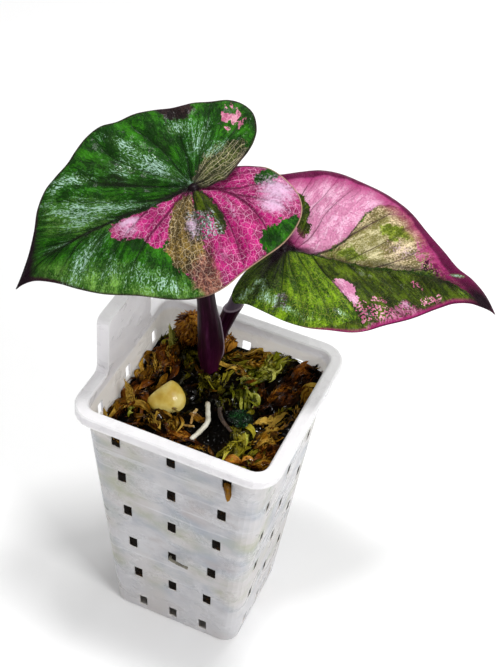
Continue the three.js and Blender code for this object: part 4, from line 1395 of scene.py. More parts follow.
WHITE_ROOT = RootLook("white", "#cfc9b4", "#f1eddf", "#c09a52", 0.38, 0.25)
BROWN_ROOT = RootLook("brown", "#241812", "#523e2f", "#6c5a4a", 0.42, 0.3)
TAN_ROOT = RootLook("tan", "#9a6a26", "#d9b063", "#e0bf7c", 0.35, 0.3)
DARK_ROOT = RootLook("dark", "#4a453b", "#8b8778", "#2e2a20", 0.5, 0.2)


@dataclass
class Root:
    """One root or rootlet."""

    name: str
    node: str
    slot: str
    line: Points
    radii: Sequence[float]
    look: RootLook
    seed: float = 1.0

    def build(self) -> Piece:
        """Build the root, a little uneven along its length, and dress it."""
        piece = Sweep(self.line, self.radii, 20, 0.22).build(self.name, self.shape)
        seat(piece, RootSkin(self.look), self.node, self.slot)
        return piece

    def shape(self, along: Array, angle: Array) -> Array:
        """Give small swellings and a faint flatness, in millimetres."""
        swell = 0.05 * np.sin(1.9 * along + self.seed) + 0.035 * np.sin(4.7 * along + 2 * self.seed)
        return swell + 0.05 * np.cos(2 * angle + self.seed)


@dataclass
class PaleCorm:
    """The smooth pale corm that lies in the moss, with a blunt shoulder on each side."""

    centre: Place
    shoulders: Sequence[tuple[float, float, float, float]]
    bluntness: float = 0.9

    def build(self) -> Piece:
        """Build the corm as a smooth hull of its shoulders and dress it."""
        ways, faces = ball(6)
        ways = unit(ways)
        corners = np.array([s[:3] for s in self.shoulders], float)
        balls = np.array([s[3] for s in self.shoulders])
        pull = np.exp((ways @ corners.T + balls) * self.bluntness)
        pull /= pull.sum(1, keepdims=True)
        hull = pull @ corners + ways * (pull @ balls)[:, None]
        dents = 0.14 * ripple(ways * 6, 3.0, 3.1) + 0.05 * ripple(ways * 6, 1.1, 5.2)
        places = np.array(self.centre) + hull + ways * dents[:, None]
        piece = make_mesh("pale_corm_skin", places, faces.tolist())
        seat(piece, CormSkin(), "pale_corm", "corm")
        return piece


class CormSkin(Finish):
    """Peeled corm flesh, grown: smooth and moist cream yellow, with a faint orange blush."""

    def __init__(self) -> None:
        """Build soft clouds of yellow, a blush near the top, and a darker brown towards the foot."""
        super().__init__("moist_corm_flesh")
        place = self.add("TexCoord", output="Object")
        cloud = self.add("TexNoise", place, scale=170, detail=4, roughness=0.55)
        fine = self.add("TexNoise", place, scale=900, detail=3)
        share = self.add("MapRange", cloud, from_=(0.36, 0.66))
        colour = self.add("ValToRGB", share, stops=[(0, "#cfa838"), (0.5, "#e4c65a"), (1, "#f2de88")])
        blush_place = self.add("VectorMath DISTANCE", place, (-0.0119, -0.0062, 0.1052), output="Value")
        blush = self.add("MapRange", blush_place, from_=(0.0008, 0.0042), to=(0.55, 0), **SMOOTH)
        colour = self.add("Mix", blush, colour, "#c8963c")
        height = self.add("SeparateXYZ", place, output="Z")
        foot = self.add("MapRange", height, from_=(0.0955, 0.1005), to=(0.9, 0))
        darker_foot = self.add("Math MULTIPLY", foot, cloud)
        colour = self.add("Mix", darker_foot, colour, "#8a7a1c")
        self.surface(base_color=colour, roughness=0.36, ior=1.42, coat_weight=0.25, coat_roughness=0.12)
        self.surface(normal=self.add("Bump", height=fine, strength=0.25, distance=0.0002))


# Moss


class Moss(Enum):
    """The tones of wet sphagnum, each with its ramp from the deepest to the lightest colour."""

    RUST = ("rust", "#080200", "#341602", "#7a4008", "#c88a30")
    GOLDEN = ("golden", "#0a0400", "#442803", "#8c5e0c", "#d8b04c")
    OLIVE = ("olive", "#060500", "#2e2a02", "#645c08", "#b0a430")
    GREEN = ("green", "#0c0f02", "#474a05", "#868816", "#d2d06a")


def bed_height(x: Array, y: Array) -> Array:
    """Give the height of the moss bed, lowest at the front left, in millimetres."""
    bumps = np.sin(0.42 * x + 1) * np.cos(0.38 * y) + 0.5 * np.sin(0.9 * x - 0.7 * y)
    bank = 4.5 * ease(-np.asarray(y, float), 23, 30)
    return 99 + 0.09 * x + 0.06 * y + 0.8 * bumps + bank


@dataclass(frozen=True)
class Cup:
    """The room inside the basket's walls, in millimetres."""

    foot: Place = (25.1, 22.2, 5.5)
    top: Place = (33.35, 32.25, 6.5)
    height: float = 107.7
    skin: float = 0.9

    def section(self, z: Array, inwards: float) -> Array:
        """Give half the width, half the depth and the corner radius at each height."""
        t = np.asarray(z, float)[..., None] / self.height
        return np.array(self.foot) + (np.array(self.top) - np.array(self.foot)) * t - self.skin - inwards

    def keep_inside(self, places: Array, clear: float) -> Array:
        """Draw places that stick through the walls back to a clearance inside them."""
        half = self.section(places[:, 2], clear)
        kept = places.copy()
        core = half[:, :2] - half[:, 2:]
        past = np.maximum(np.abs(places[:, :2]) - core, 0)
        far = np.linalg.norm(past, axis=1)
        scale = np.minimum(1, half[:, 2] / np.maximum(far, 1e-6))
        inner = np.minimum(np.abs(places[:, :2]), core)
        kept[:, :2] = np.sign(places[:, :2]) * (inner + past * scale[:, None])
        return kept


CUP = Cup()


@dataclass
class Bits:
    """Small closed leaves and strands gathered into one mesh."""

    places: list = field(default_factory=list)
    faces: list = field(default_factory=list)
    shades: list = field(default_factory=list)
    along: list = field(default_factory=list)
    across: list = field(default_factory=list)
    count: int = 0

    def add(self, places: Array, faces: Array, *values: Array) -> None:
        """Take in vertices and faces, with each one's shade, place along and place across or nought."""
        self.places.append(places)
        self.faces.append(faces + self.count)
        for kept, number in zip((self.shades, self.along, self.across), range(3)):
            kept.append(values[number] if number < len(values) else np.zeros(len(places)))
        self.count += len(places)

    def leaflets(
        self, foot: Array, reach: Array, out: Array, width: Array, shade: Array
    ) -> None:
        """Add boat-shaped leaflets, each a closed body of eight triangles.

        Args:
            foot: Where each leaflet starts.
            reach: The vector from its foot to its tip.
            out: The way its back faces.
            width: Its full width.
            shade: Its shade from 0 to 1.
        """
        side = unit(np.cross(reach, out), TINY)
        back = unit(np.cross(side, reach), TINY)
        half = 0.5 * width[:, None]
        ring = [
            foot,
            foot + 0.42 * reach + side * half - back * half * 0.35,
            foot + 0.42 * reach - side * half - back * half * 0.35,
            foot + 0.45 * reach + back * half * 0.42,
            foot + 0.45 * reach - back * half * 0.18,
            foot + reach + back * half * 0.25,
        ]
        places = np.stack(ring, 1).reshape(-1, 3)
        one = np.array(
            [[0, 1, 3], [0, 3, 2], [1, 5, 3], [3, 5, 2], [0, 4, 1], [0, 2, 4], [1, 4, 5], [4, 2, 5]]
        )
        faces = (np.arange(len(foot))[:, None, None] * 6 + one[None, :, ::-1]).reshape(-1, 3)
        along, across = [0.0, 0.5, 0.5, 0.5, 0.4, 1.0], [0.0, 0.4, -0.4, 0.0, 0.0, 0.0]
        self.add(places, faces, np.repeat(shade, 6), np.tile(along, len(foot)), np.tile(across, len(foot)))

    def strand(self, path: Array, out: Array, width: Array, thick: float, shade: float) -> None:
        """Add one flat strand that tapers to a point at both ends.

        Args:
            path: Its centre line.
            out: The way its face looks at each sample.
            width: Its full width at each sample.
            thick: How thick it is.
            shade: Its shade from 0 to 1.
        """
        ahead = np.gradient(path, axis=0)
        side = unit(np.cross(ahead, out), TINY)
        face = unit(np.cross(side, ahead), TINY)
        half = 0.5 * width[:, None]
        ring = [
            path + side * half + face * half * 0.3,
            path + side * half * 0.5 + face * thick * 0.7,
            path - face * half * 0.12 + face * thick * 0.2,
            path - side * half * 0.5 + face * thick * 0.7,
            path - side * half + face * half * 0.3,
            path - face * (thick + half * 0.15),
        ]
        inner = np.stack(ring, 1)[1:-1].reshape(-1, 3)
        rows, n = len(path) - 2, 6
        places = np.vstack([path[0], inner, path[-1]])
        last = rows * n + 1
        faces = []
        for i in range(n):
            j = (i + 1) % n
            faces.append([0, 1 + i, 1 + j])
            faces.append([last, last - n + j, last - n + i])
            for r in range(rows - 1):
                a, b = 1 + r * n, 1 + (r + 1) * n
                faces += [[a + i, b + i, b + j], [a + i, b + j, a + j]]
        along = np.concatenate([[0], np.repeat(np.linspace(0, 1, rows + 2)[1:-1], n), [1]])
        across = np.concatenate([[0], np.tile([1, 0.5, 0, -0.5, -1, 0], rows), [0]])
        self.add(places, np.array(faces)[:, ::-1], np.full(len(places), shade), along, across)

    def shoot(
        self, path: Array, width: float, flat: float, shade: float, draw: np.random.Generator
    ) -> None:
        """Clothe a shoot's line with whorls of leaflets that shrink to its tip.

        Args:
            path: The shoot's centre line, from its foot to its tip.
            width: Its full width near the foot.
            flat: How much it is pressed flat, 1 for round.
            shade: Its shade from 0 to 1.
            draw: Where its random numbers come from.
        """
        n, whorl = len(path), 3
        ahead = unit(np.gradient(path, axis=0), TINY)
        up = unit(np.array([0.02, 0.03, 1.0]) - ahead * ahead[:, 2:])
        side = np.cross(ahead, up)
        turn = np.arange(n)[:, None] * 0.9 + np.arange(whorl) * 2.09 + draw.normal(0, 0.3, (n, whorl))
        taper = np.interp(np.linspace(0, 1, n), [0, 0.25, 0.7, 1], [0.75, 1, 0.75, 0.3])[:, None]
        out = (np.cos(turn) * flat)[..., None] * up[:, None] + np.sin(turn)[..., None] * side[:, None]
        foot = path[:, None] + out * (0.16 * width * taper)[..., None]
        spread = draw.uniform(0.12, 0.55, (n, whorl, 1))
        way = unit(ahead[:, None] + out * spread + draw.normal(0, 0.12, (n, whorl, 3)))
        size = width * taper * draw.uniform(0.6, 1.25, (n, whorl))
        tone = np.clip(shade + draw.normal(0, 0.12, (n, whorl)), 0, 1)
        self.leaflets(
            foot.reshape(-1, 3),
            (way * size[..., None]).reshape(-1, 3),
            out.reshape(-1, 3),
            (size * draw.uniform(0.24, 0.42, size.shape)).ravel(),
            tone.ravel(),
        )

    def build(self, name: str, clear: float | None = None) -> Piece:
        """Make the gathered mesh with painted shade that darkens it low down, drawn back inside the walls by
        any clearance.
        """
        places = np.vstack(self.places)
        if clear is not None:
            places = CUP.keep_inside(places, clear)
        piece = make_mesh(name, places, np.vstack(self.faces).tolist())
        # Painted shade: leaflets low over the bed are darker, those lifted above it lighter.
        lift = places[:, 2] - bed_height(places[:, 0], places[:, 1])
        shade = np.concatenate(self.shades) + 0.14 * np.clip(lift - 1.2, -1.5, 1.2)
        store(piece, shade=shade, along=np.concatenate(self.along), across=np.concatenate(self.across))
        return piece


BARE = (7.0, -10.5, 8.5, 9.0)


@dataclass(frozen=True)
class Bunch:
    """Moss that lies one way: the middle and reach of its patch, its heading and its sizes."""

    moss: Moss
    x: float
    y: float
    along: float
    across: float
    heading: float
    count: int
    length: float
    width: float
    rise: float = 0.0
    shade: float = 0.5
    spread: float = 17.0

    def lay(self, bits: Bits, draw: np.random.Generator) -> None:
        """Lay the bunch's shoots and flat strands on the bed."""
        for i in range(self.count):
            flat_strand = i % 3 > 0
            u, v = draw.normal(0, 0.55, 2) * (self.along, self.across)
            heading = math.radians(self.heading + draw.normal(0, self.spread))
            way = math.radians(self.heading)
            x = self.x + u * math.cos(way) - v * math.sin(way)
            y = self.y + u * math.sin(way) + v * math.cos(way)
            if self.spread > 45 and math.hypot((x - BARE[0]) / BARE[2], (y - BARE[1]) / BARE[3]) < 1:
                continue
            length = self.length * draw.uniform(0.6, 1.35)
            level = self.rise + draw.uniform(-0.3, 2.4)
            shade = float(np.clip(self.shade + draw.normal(0, 0.2), 0.02, 0.98))
            nodes = 14 if flat_strand else max(6, round(length / 0.6))
            path = self.line(x, y, heading, length, level, nodes, draw)
            if flat_strand:
                tilt = draw.normal(0, 0.45, 2)
                out = np.tile([tilt[0], tilt[1], 1.0], (nodes, 1))
                out += np.outer(np.linspace(-1, 1, nodes), draw.normal(0, 0.5, 3))
                body = np.sin(np.linspace(0.08, math.pi, nodes)) ** draw.uniform(0.45, 0.9)
                body *= 1 + 0.25 * np.sin(np.linspace(0, 7, nodes) + draw.uniform(0, 6))
                bits.strand(path, out, self.width * draw.uniform(0.5, 1.3) * body, 0.2, shade)
            else:
                bits.shoot(path, self.width * draw.uniform(0.75, 1.15), 0.6, shade, draw)

    def line(
        self, x: float, y: float, heading: float, length: float, level: float, nodes: int,
        draw: np.random.Generator,
    ) -> Array:
        """Run one shoot's line over the bed, centred on a place."""
        step = length / (nodes - 1)
        bend = draw.normal(0, 0.055) * step
        t = np.linspace(0, 1, nodes)
        curl = draw.normal(0, 0.5) * np.sin(draw.uniform(4, 9) * t + draw.uniform(0, 6))
        headings = heading + bend * (np.arange(nodes) - nodes / 2) + curl
        xs = x + np.cumsum(np.cos(headings)) * step - math.cos(heading) * length / 2
        ys = y + np.cumsum(np.sin(headings)) * step - math.sin(heading) * length / 2
        lift = level * np.sin(math.pi * np.clip(t * 0.9 + 0.08, 0, 1)) + draw.normal(0, 0.9) * (t - 0.4)
        tilt = max(0.0, draw.normal(0, 1.0)) * t**3
        return np.column_stack([xs, ys, bed_height(xs, ys) + lift + tilt - 0.2])


class MossSkin(Finish):
    """Sphagnum leaves, grown and soaked: thin wet cells, striped along each leaf, with a film of water."""

    def __init__(self, moss: Moss, soaked: bool = True) -> None:
        """Build a ramp of the moss's tones, driven by each leaflet's own shade, which carries painted shade
        low in the pile.

        Args:
            moss: The tone of moss.
            soaked: Whether a film of water glints on it.
        """
        name, *codes = moss.value
        super().__init__(f"wet_sphagnum_{name}", "shade", "along", "across")
        place = self.add("TexCoord", output="Object")
        shade, along, across = self.kept.values()
        own = self.add("Math MULTIPLY", shade, 37)
        leaf_place = self.add("CombineXYZ", x=across, y=along, z=own)
        stretched = self.add("Mapping", leaf_place, scale=(3.2, 1.3, 1))
        streak = self.add("TexNoise", stretched, scale=1.6, detail=4, roughness=0.65)
        patch = self.add("TexNoise", place, scale=240, detail=3, roughness=0.6)
        cells = self.add("TexNoise", place, scale=1500, detail=2, roughness=0.65)
        total = self.add("Math ADD", patch, shade)
        total = self.add("Math ADD", streak, total)
        total = self.add("Math ADD", total, self.add("Math MULTIPLY", along, 0.2))
        share = self.add("MapRange", total, from_=(1.12, 2.02))
        colour = self.add("ValToRGB", share, stops=list(zip((0, 0.34, 0.66, 1), codes)))
        wet = self.add("TexNoise", place, scale=330, detail=2)
        film = self.add("MapRange", wet, from_=(0.54, 0.6), to=(0, 0.8))
        self.surface(base_color=colour, roughness=0.5, ior=1.36, specular_ior_level=0.08 if soaked else 0.04)
        self.surface(coat_weight=film if soaked else 0, coat_roughness=0.05)
        grain = self.add("Bump", height=streak, strength=0.7, distance=0.0004)
        self.surface(normal=self.add("Bump", height=cells, strength=0.35, distance=0.0003, normal=grain))


class PeatSkin(Finish):
    """Packed wet sphagnum and peat: near black, its own wet colour with painted shade in the gaps between
    the shoots, and brown and olive fibres.
    """

    def __init__(self) -> None:
        """Build dark matted fibres with brown and olive patches and a few wet drops."""
        super().__init__("wet_packed_sphagnum")
        place = self.add("TexCoord", output="Object")
        stretched = self.add("Mapping", place, rotation=(0.3, 0.5, 0.2), scale=(1, 0.45, 0.8))
        mat = self.add("TexNoise", stretched, scale=420, detail=6, roughness=0.7)
        patch = self.add("TexNoise", place, scale=95, detail=2)
        total = self.add("Math ADD", mat, patch)
        share = self.add("MapRange", total, from_=(0.86, 1.36))
        colour = self.add(
            "ValToRGB", share,
            stops=[(0.0, "#030201"), (0.5, "#0c0703"), (0.8, "#2a1806"), (1.0, "#5a3b10")],
        )
        olive = self.add("TexNoise", place, scale=60, detail=2)
        green = self.add("MapRange", olive, from_=(0.48, 0.6), to=(0, 0.6))
        greener = self.add("MixRGB", green, colour, "#5c6a14", blend_type="SOFT_LIGHT")
        drops = self.add("TexNoise", place, scale=800, detail=2)
        film = self.add("MapRange", drops, from_=(0.6, 0.66))
        self.surface(base_color=greener, roughness=0.6, ior=1.35, specular_ior_level=0.05)
        self.surface(coat_weight=film, coat_roughness=0.05)
        self.surface(normal=self.add("Bump", height=mat, strength=0.9, distance=0.0008))


@dataclass
class MossBed:
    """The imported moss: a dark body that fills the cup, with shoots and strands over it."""

    floor: float = 12.5
    clear: float = 0.45
    around: int = 260
    rows: int = 150
    rings: int = 60
    bunches: Sequence[Bunch] = ()
    hollows: Sequence[tuple[float, float, float, float]] = ()

    def body(self) -> Piece:
        """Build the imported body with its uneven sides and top.

        Returns:
            The finished body.
        """
        turn = np.linspace(0, 2 * math.pi, self.around, endpoint=False)
        square = np.column_stack([np.cos(turn), np.sin(turn)])
        rim = self.rim_places(square, 1.0)
        edge_top = bed_height(rim[:, 0], rim[:, 1])
        steps = [k / (self.rows - 1) for k in range(self.rows)]
        sides = np.vstack([self.wall_row(square, self.floor + (edge_top - self.floor) * t) for t in steps])
        tops = [self.rim_places(square, 1 - k / self.rings) for k in range(1, self.rings)]
        top = np.vstack([*tops, [[0.0, 0.0]]])
        height = bed_height(top[:, 0], top[:, 1])
        height += 1.1 * ripple(top, 3.4, 4.0) + 0.6 * ripple(top, 1.3, 8.0) + 0.3 * ripple(top, 0.6, 2.0)
        for x, y, reach, depth in self.hollows:
            height -= depth * np.exp(-(((top[:, 0] - x) ** 2 + (top[:, 1] - y) ** 2) / reach**2))
        places = np.vstack([sides, np.column_stack([top, height]), [[0, 0, self.floor]]])
        piece = make_mesh("moss_body", places, self.body_faces())
        seat(piece, PeatSkin(), "moss_bed", "sphagnum")
        return piece

    def rim_places(self, square: Array, scale: float) -> Array:
        """Give the bed's outline at its top, shrunk by a scale."""
        level = np.full(len(square), 99.0)
        return scale * self.wall_row(square, level)[:, :2]

    def wall_row(self, square: Array, z: Array) -> Array:
        """Give one row of the body's sides at the given heights."""
        half = CUP.section(z, self.clear)
        core = half[:, :2] - half[:, 2:]
        reach = (half[:, :2] / np.maximum(np.abs(square), 1e-6)).min(1)
        flat = square * reach[:, None]
        past = np.maximum(np.abs(flat) - core, 0)
        corner = (past > 0).all(1)
        scale = np.where(corner, half[:, 2] / np.maximum(np.linalg.norm(past, axis=1), 1e-6), 1.0)
        flat = np.sign(flat) * (np.minimum(np.abs(flat), core) + past * scale[:, None])
        row = np.column_stack([flat, z])
        sink = 0.45 + 0.5 * ripple(row, 3.2, 6.0) + 0.35 * ripple(row, 1.2, 9.0)
        inward = np.column_stack([square, np.zeros(len(square))])
        return row - inward * np.clip(sink, 0, 1.6)[:, None]

    def body_faces(self) -> list:
        """Join the side rows, the top rings and the flat underside."""
        n = self.around
        faces = []
        for r in range(self.rows + self.rings - 2):
            a, b = r * n, (r + 1) * n
            faces += [[a + i, a + (i + 1) % n, b + (i + 1) % n, b + i] for i in range(n)]
        last = (self.rows + self.rings - 2) * n
        peak, foot = last + n, last + n + 1
        faces += [[last + i, last + (i + 1) % n, peak] for i in range(n)]
        faces += [[(i + 1) % n, i, foot] for i in range(n)]
        return faces

    def shoots(self) -> None:
        """Lay every bunch, one piece for each tone of moss."""
        for number, moss in enumerate(Moss):
            draw = np.random.default_rng(SEED + number)
            bits = Bits()
            for bunch in self.bunches:
                if bunch.moss is moss:
                    bunch.lay(bits, draw)
            seat(bits.build(f"moss_{moss.value[0]}", 0.35), MossSkin(moss), "moss_bed", "sphagnum")


def bunches() -> list[Bunch]:
    """List the moss bunches one by one, then thin filling over the whole bed."""
    r, g, o, n = Moss.RUST, Moss.GOLDEN, Moss.OLIVE, Moss.GREEN
    listed = [
        Bunch(r, -24.5, 13.5, 8, 3.5, 105, 24, 11, 2.6),
        Bunch(g, -25.9, 5.6, 8, 4, 100, 24, 11, 2.6, 0, 0.4), Bunch(r, -24.9, -5.5, 8, 4, 255, 24, 11, 2.6),
        Bunch(g, -16.9, -12, 6, 3, 345, 20, 10, 2.4, 0, 0.4),
        Bunch(r, -3.6, -17.4, 6, 1.5, 345, 12, 11, 2.2),
        Bunch(r, 23.3, 21.4, 8, 6, 60, 44, 12, 2.4, 0, 0.3),
        Bunch(r, 20.8, 11.7, 7, 4, 65, 34, 12, 2.2, 0, 0.26), Bunch(r, 26.6, -13.8, 5, 3, 80, 14, 9, 2.4),
        Bunch(r, 24.1, -19.4, 5, 2, 10, 10, 9, 2.4), Bunch(r, -14, -24, 12, 4, 0, 30, 10, 2.4),
        Bunch(g, -28.1, -13, 6, 2, 250, 14, 10, 2.2), Bunch(g, -8.4, -11.9, 4, 4, 290, 24, 8, 1.5),
        Bunch(g, -13.7, -11.1, 4, 3, 300, 10, 8, 1.8), Bunch(g, 2.4, 25.8, 7, 2.5, 15, 16, 15, 3),
        Bunch(g, 3.6, 17.8, 4, 1.5, 5, 6, 9, 2.4), Bunch(g, 24.9, -8.5, 3, 3.5, 60, 14, 8, 3),
        Bunch(g, 29.1, 16.5, 7, 1.5, 85, 12, 10, 2.4), Bunch(g, 27.5, -18.3, 3, 3, 35, 10, 8, 2.4),
        Bunch(g, 23.7, 1.1, 5, 3, 45, 18, 8, 1.7, 0.3, 0.9), Bunch(g, -22.4, 20.1, 5, 2, 100, 12, 10, 2.4),
        Bunch(g, -16, 23.1, 4, 4, 120, 14, 9, 2.6), Bunch(g, 8, -26, 14, 3, 5, 24, 9, 2.2),
        Bunch(o, -17.1, 19.2, 6, 2.5, 300, 16, 13, 2.2),
        Bunch(o, -6.8, 9.4, 5, 3.5, 320, 24, 6, 1.8, 0, 0.36), Bunch(o, -1.7, 12.2, 3, 2, 70, 8, 6, 1.6),
        Bunch(o, 4.8, 22.4, 6, 2, 10, 12, 14, 2.4, 0, 0.4), Bunch(o, 14.9, 25.4, 5, 3, 60, 16, 12, 2.4),
        Bunch(o, 16.2, -9.5, 6, 3, 290, 22, 9, 2), Bunch(o, 18.3, -17.8, 4, 4, 260, 24, 8, 2.4, 0.2, 0.65),
        Bunch(o, -26.6, 23.6, 4, 2, 95, 12, 9, 2.2), Bunch(o, 3.4, 1.8, 4, 3, 300, 8, 6, 1.6),
        Bunch(o, 24.4, -15, 3, 3, 60, 8, 8, 2.2), Bunch(o, 20, -26, 8, 3, 170, 16, 9, 2.2),
        Bunch(n, 10.6, 18.3, 10, 2.5, 65, 26, 12, 2.2),
        Bunch(n, 10.5, 6.5, 5, 4.5, 300, 44, 8, 1.3, 0.4, 0.5),
        Bunch(n, -24.1, -14, 1.5, 1, 100, 4, 3, 1.4), Bunch(n, 18.2, -8.5, 3, 2, 290, 8, 6, 1.6),
        Bunch(n, 13, 24.1, 4, 3, 80, 12, 9, 2), Bunch(r, -5.2, 26.6, 1.6, 1.4, 75, 18, 5, 2.4, 3.4, 0.6),
    ]
    filling = [
        Bunch(moss, 0, 2, 26, 26, heading, 26, 8, 2.0, -0.8, 0.2, 60)
        for moss in (r, g, o)
        for heading in (30, 100)
    ]
    return listed + filling


HOLLOWS = (
    (-21.2, 23.5, 3.2, 2.6), (-5, 22.1, 3, 2.4), (5.3, 20.7, 3.4, 2.0), (-8.9, 0.5, 2.6, 1.8),
    (6.5, -13.6, 8, 0.9), (2.5, -4.5, 3, 1.2), (22.6, 6.2, 3, 1.6), (13.6, 14.3, 2.2, 1.6),
    (-12.7, 9, 3, 1.5),
)


@dataclass
class Tuft:
    """Moss that stands or hangs on its own: shoots that follow one line side by side."""

    name: str
    node: str
    moss: Moss
    line: Points
    width: float
    copies: int = 3
    fan: float = 0.8
    shade: float = 0.55
    strap: bool = False

    def build(self) -> Piece:
        """Build the tuft's shoots and strands and dress them."""
        draw = np.random.default_rng(SEED + len(self.name))
        bits = Bits()
        path = smooth_line(self.line, 0.5)
        t = np.linspace(0, 1, len(path))[:, None]
        for i in range(self.copies):
            off = draw.normal(0, self.fan, 3) * (0.35 + 0.65 * t) * (1 - 0.75 * t**3)
            length = 1.0 if i == 0 else draw.uniform(0.6, 0.95)
            own = (path + off * (i > 0))[: max(5, round(length * len(path)))]
            shade = float(np.clip(self.shade + draw.normal(0, 0.1), 0, 1))
            if self.strap:
                nodes = smooth_line(own, 0.3)
                t_own = np.linspace(0, 1, len(nodes))
                body = np.interp(t_own, [0, 0.2, 0.7, 0.93, 1], [0.8, 1, 0.95, 0.5, 0.1])
                out = np.gradient(nodes, axis=0)[:, [0, 2, 1]] * (0, -1, 1)
                bits.strand(nodes, out, self.width * body, 0.28, self.shade)
                continue
            if i % 2 == 0:
                nodes = smooth_line(own, 0.55)
                body = np.sin(np.linspace(0.35, math.pi, len(nodes))) ** 0.6
                out = np.tile(draw.normal(0, 0.4, 3) + [0.2, -0.8, 0.5], (len(nodes), 1))
                bits.strand(nodes, out, self.width * 0.8 * body, 0.2, shade)
            bits.shoot(own, self.width, 0.8, shade, draw)
        piece = bits.build(self.name)
        seat(piece, MossSkin(self.moss), self.node, "sphagnum")
        return piece


@dataclass
class MossMound:
    """A small rounded mound whose leaflets lean over it, and hang down it where it has a drape."""

    name: str
    node: str
    slot: str
    moss: Moss | None
    centre: Place
    half: Place
    leaflets: int
    size: float
    lean: float = 0.6
    shade: float = 0.5
    drape: float = 0.0

    def build(self) -> Piece:
        """Build a core and the leaflets on it, and dress them."""
        draw = np.random.default_rng(SEED + self.leaflets)
        ways = unit(draw.normal(0, 1, (self.leaflets, 3)))
        ways[:, 2] = np.abs(ways[:, 2]) * 1.15 - 0.15
        half = np.array(self.half)
        foot = np.array(self.centre) + ways * half * (0.78 + 0.2 * ripple(ways * 3, 1, 2.0)[:, None])
        level = unit(np.cross(ways, [0.1, 0.2, 1.0]))
        turn = draw.uniform(0, 2 * math.pi, self.leaflets)[:, None]
        flat = np.cos(turn) * level + np.sin(turn) * np.cross(ways, level)
        down = np.cross(level, ways)
        flat = (1 - self.drape) * flat + self.drape * down * np.sign(down[:, 2:]) * -1
        reach = (ways * (1 - self.lean) + flat * self.lean) * self.size
        reach *= draw.uniform(0.7, 1.2, (self.leaflets, 1))
        bits = Bits()
        shade = self.shade + draw.normal(0, 0.2, self.leaflets) + 0.25 * ripple(foot, 2.5, 3.0)
        width = np.full(self.leaflets, self.size * (0.5 - 0.22 * self.drape))
        bits.leaflets(foot, reach, ways, width, np.clip(shade, 0, 1))
        core, faces = ball(4)
        swell = 0.78 + 0.18 * ripple(core * 3, 1, 2.0)
        bits.add(np.array(self.centre) + core * half * swell[:, None], faces)
        piece = bits.build(self.name)
        seat(piece, MossSkin(self.moss) if self.moss else CushionSkin(), self.node, self.slot)
        return piece


class CushionSkin(Finish):
    """Live cushion moss, grown: dark bottle-green leaflets with a wet shine."""

    def __init__(self) -> None:
        """Build the dark green from each leaflet's own shade."""
        super().__init__("wet_cushion_moss", "shade")
        place = self.add("TexCoord", output="Object")
        cells = self.add("TexNoise", place, scale=1400, detail=2)
        total = self.add("Math ADD", self.kept["shade"], cells)
        share = self.add("MapRange", total, from_=(0.55, 1.5))
        colour = self.add(
            "ValToRGB", share,
            stops=[(0.0, "#010502"), (0.45, "#06180a"), (0.8, "#123c18"), (1.0, "#3a7a3c")],
        )
        wet = self.add("TexNoise", place, scale=420, detail=2)
        film = self.add("MapRange", wet, from_=(0.48, 0.56))
        self.surface(base_color=colour, roughness=0.5, ior=1.36, specular_ior_level=0.2)
        self.surface(coat_weight=film, coat_roughness=0.05)
        self.surface(normal=self.add("Bump", height=cells, strength=0.4, distance=0.0003))


# Basket


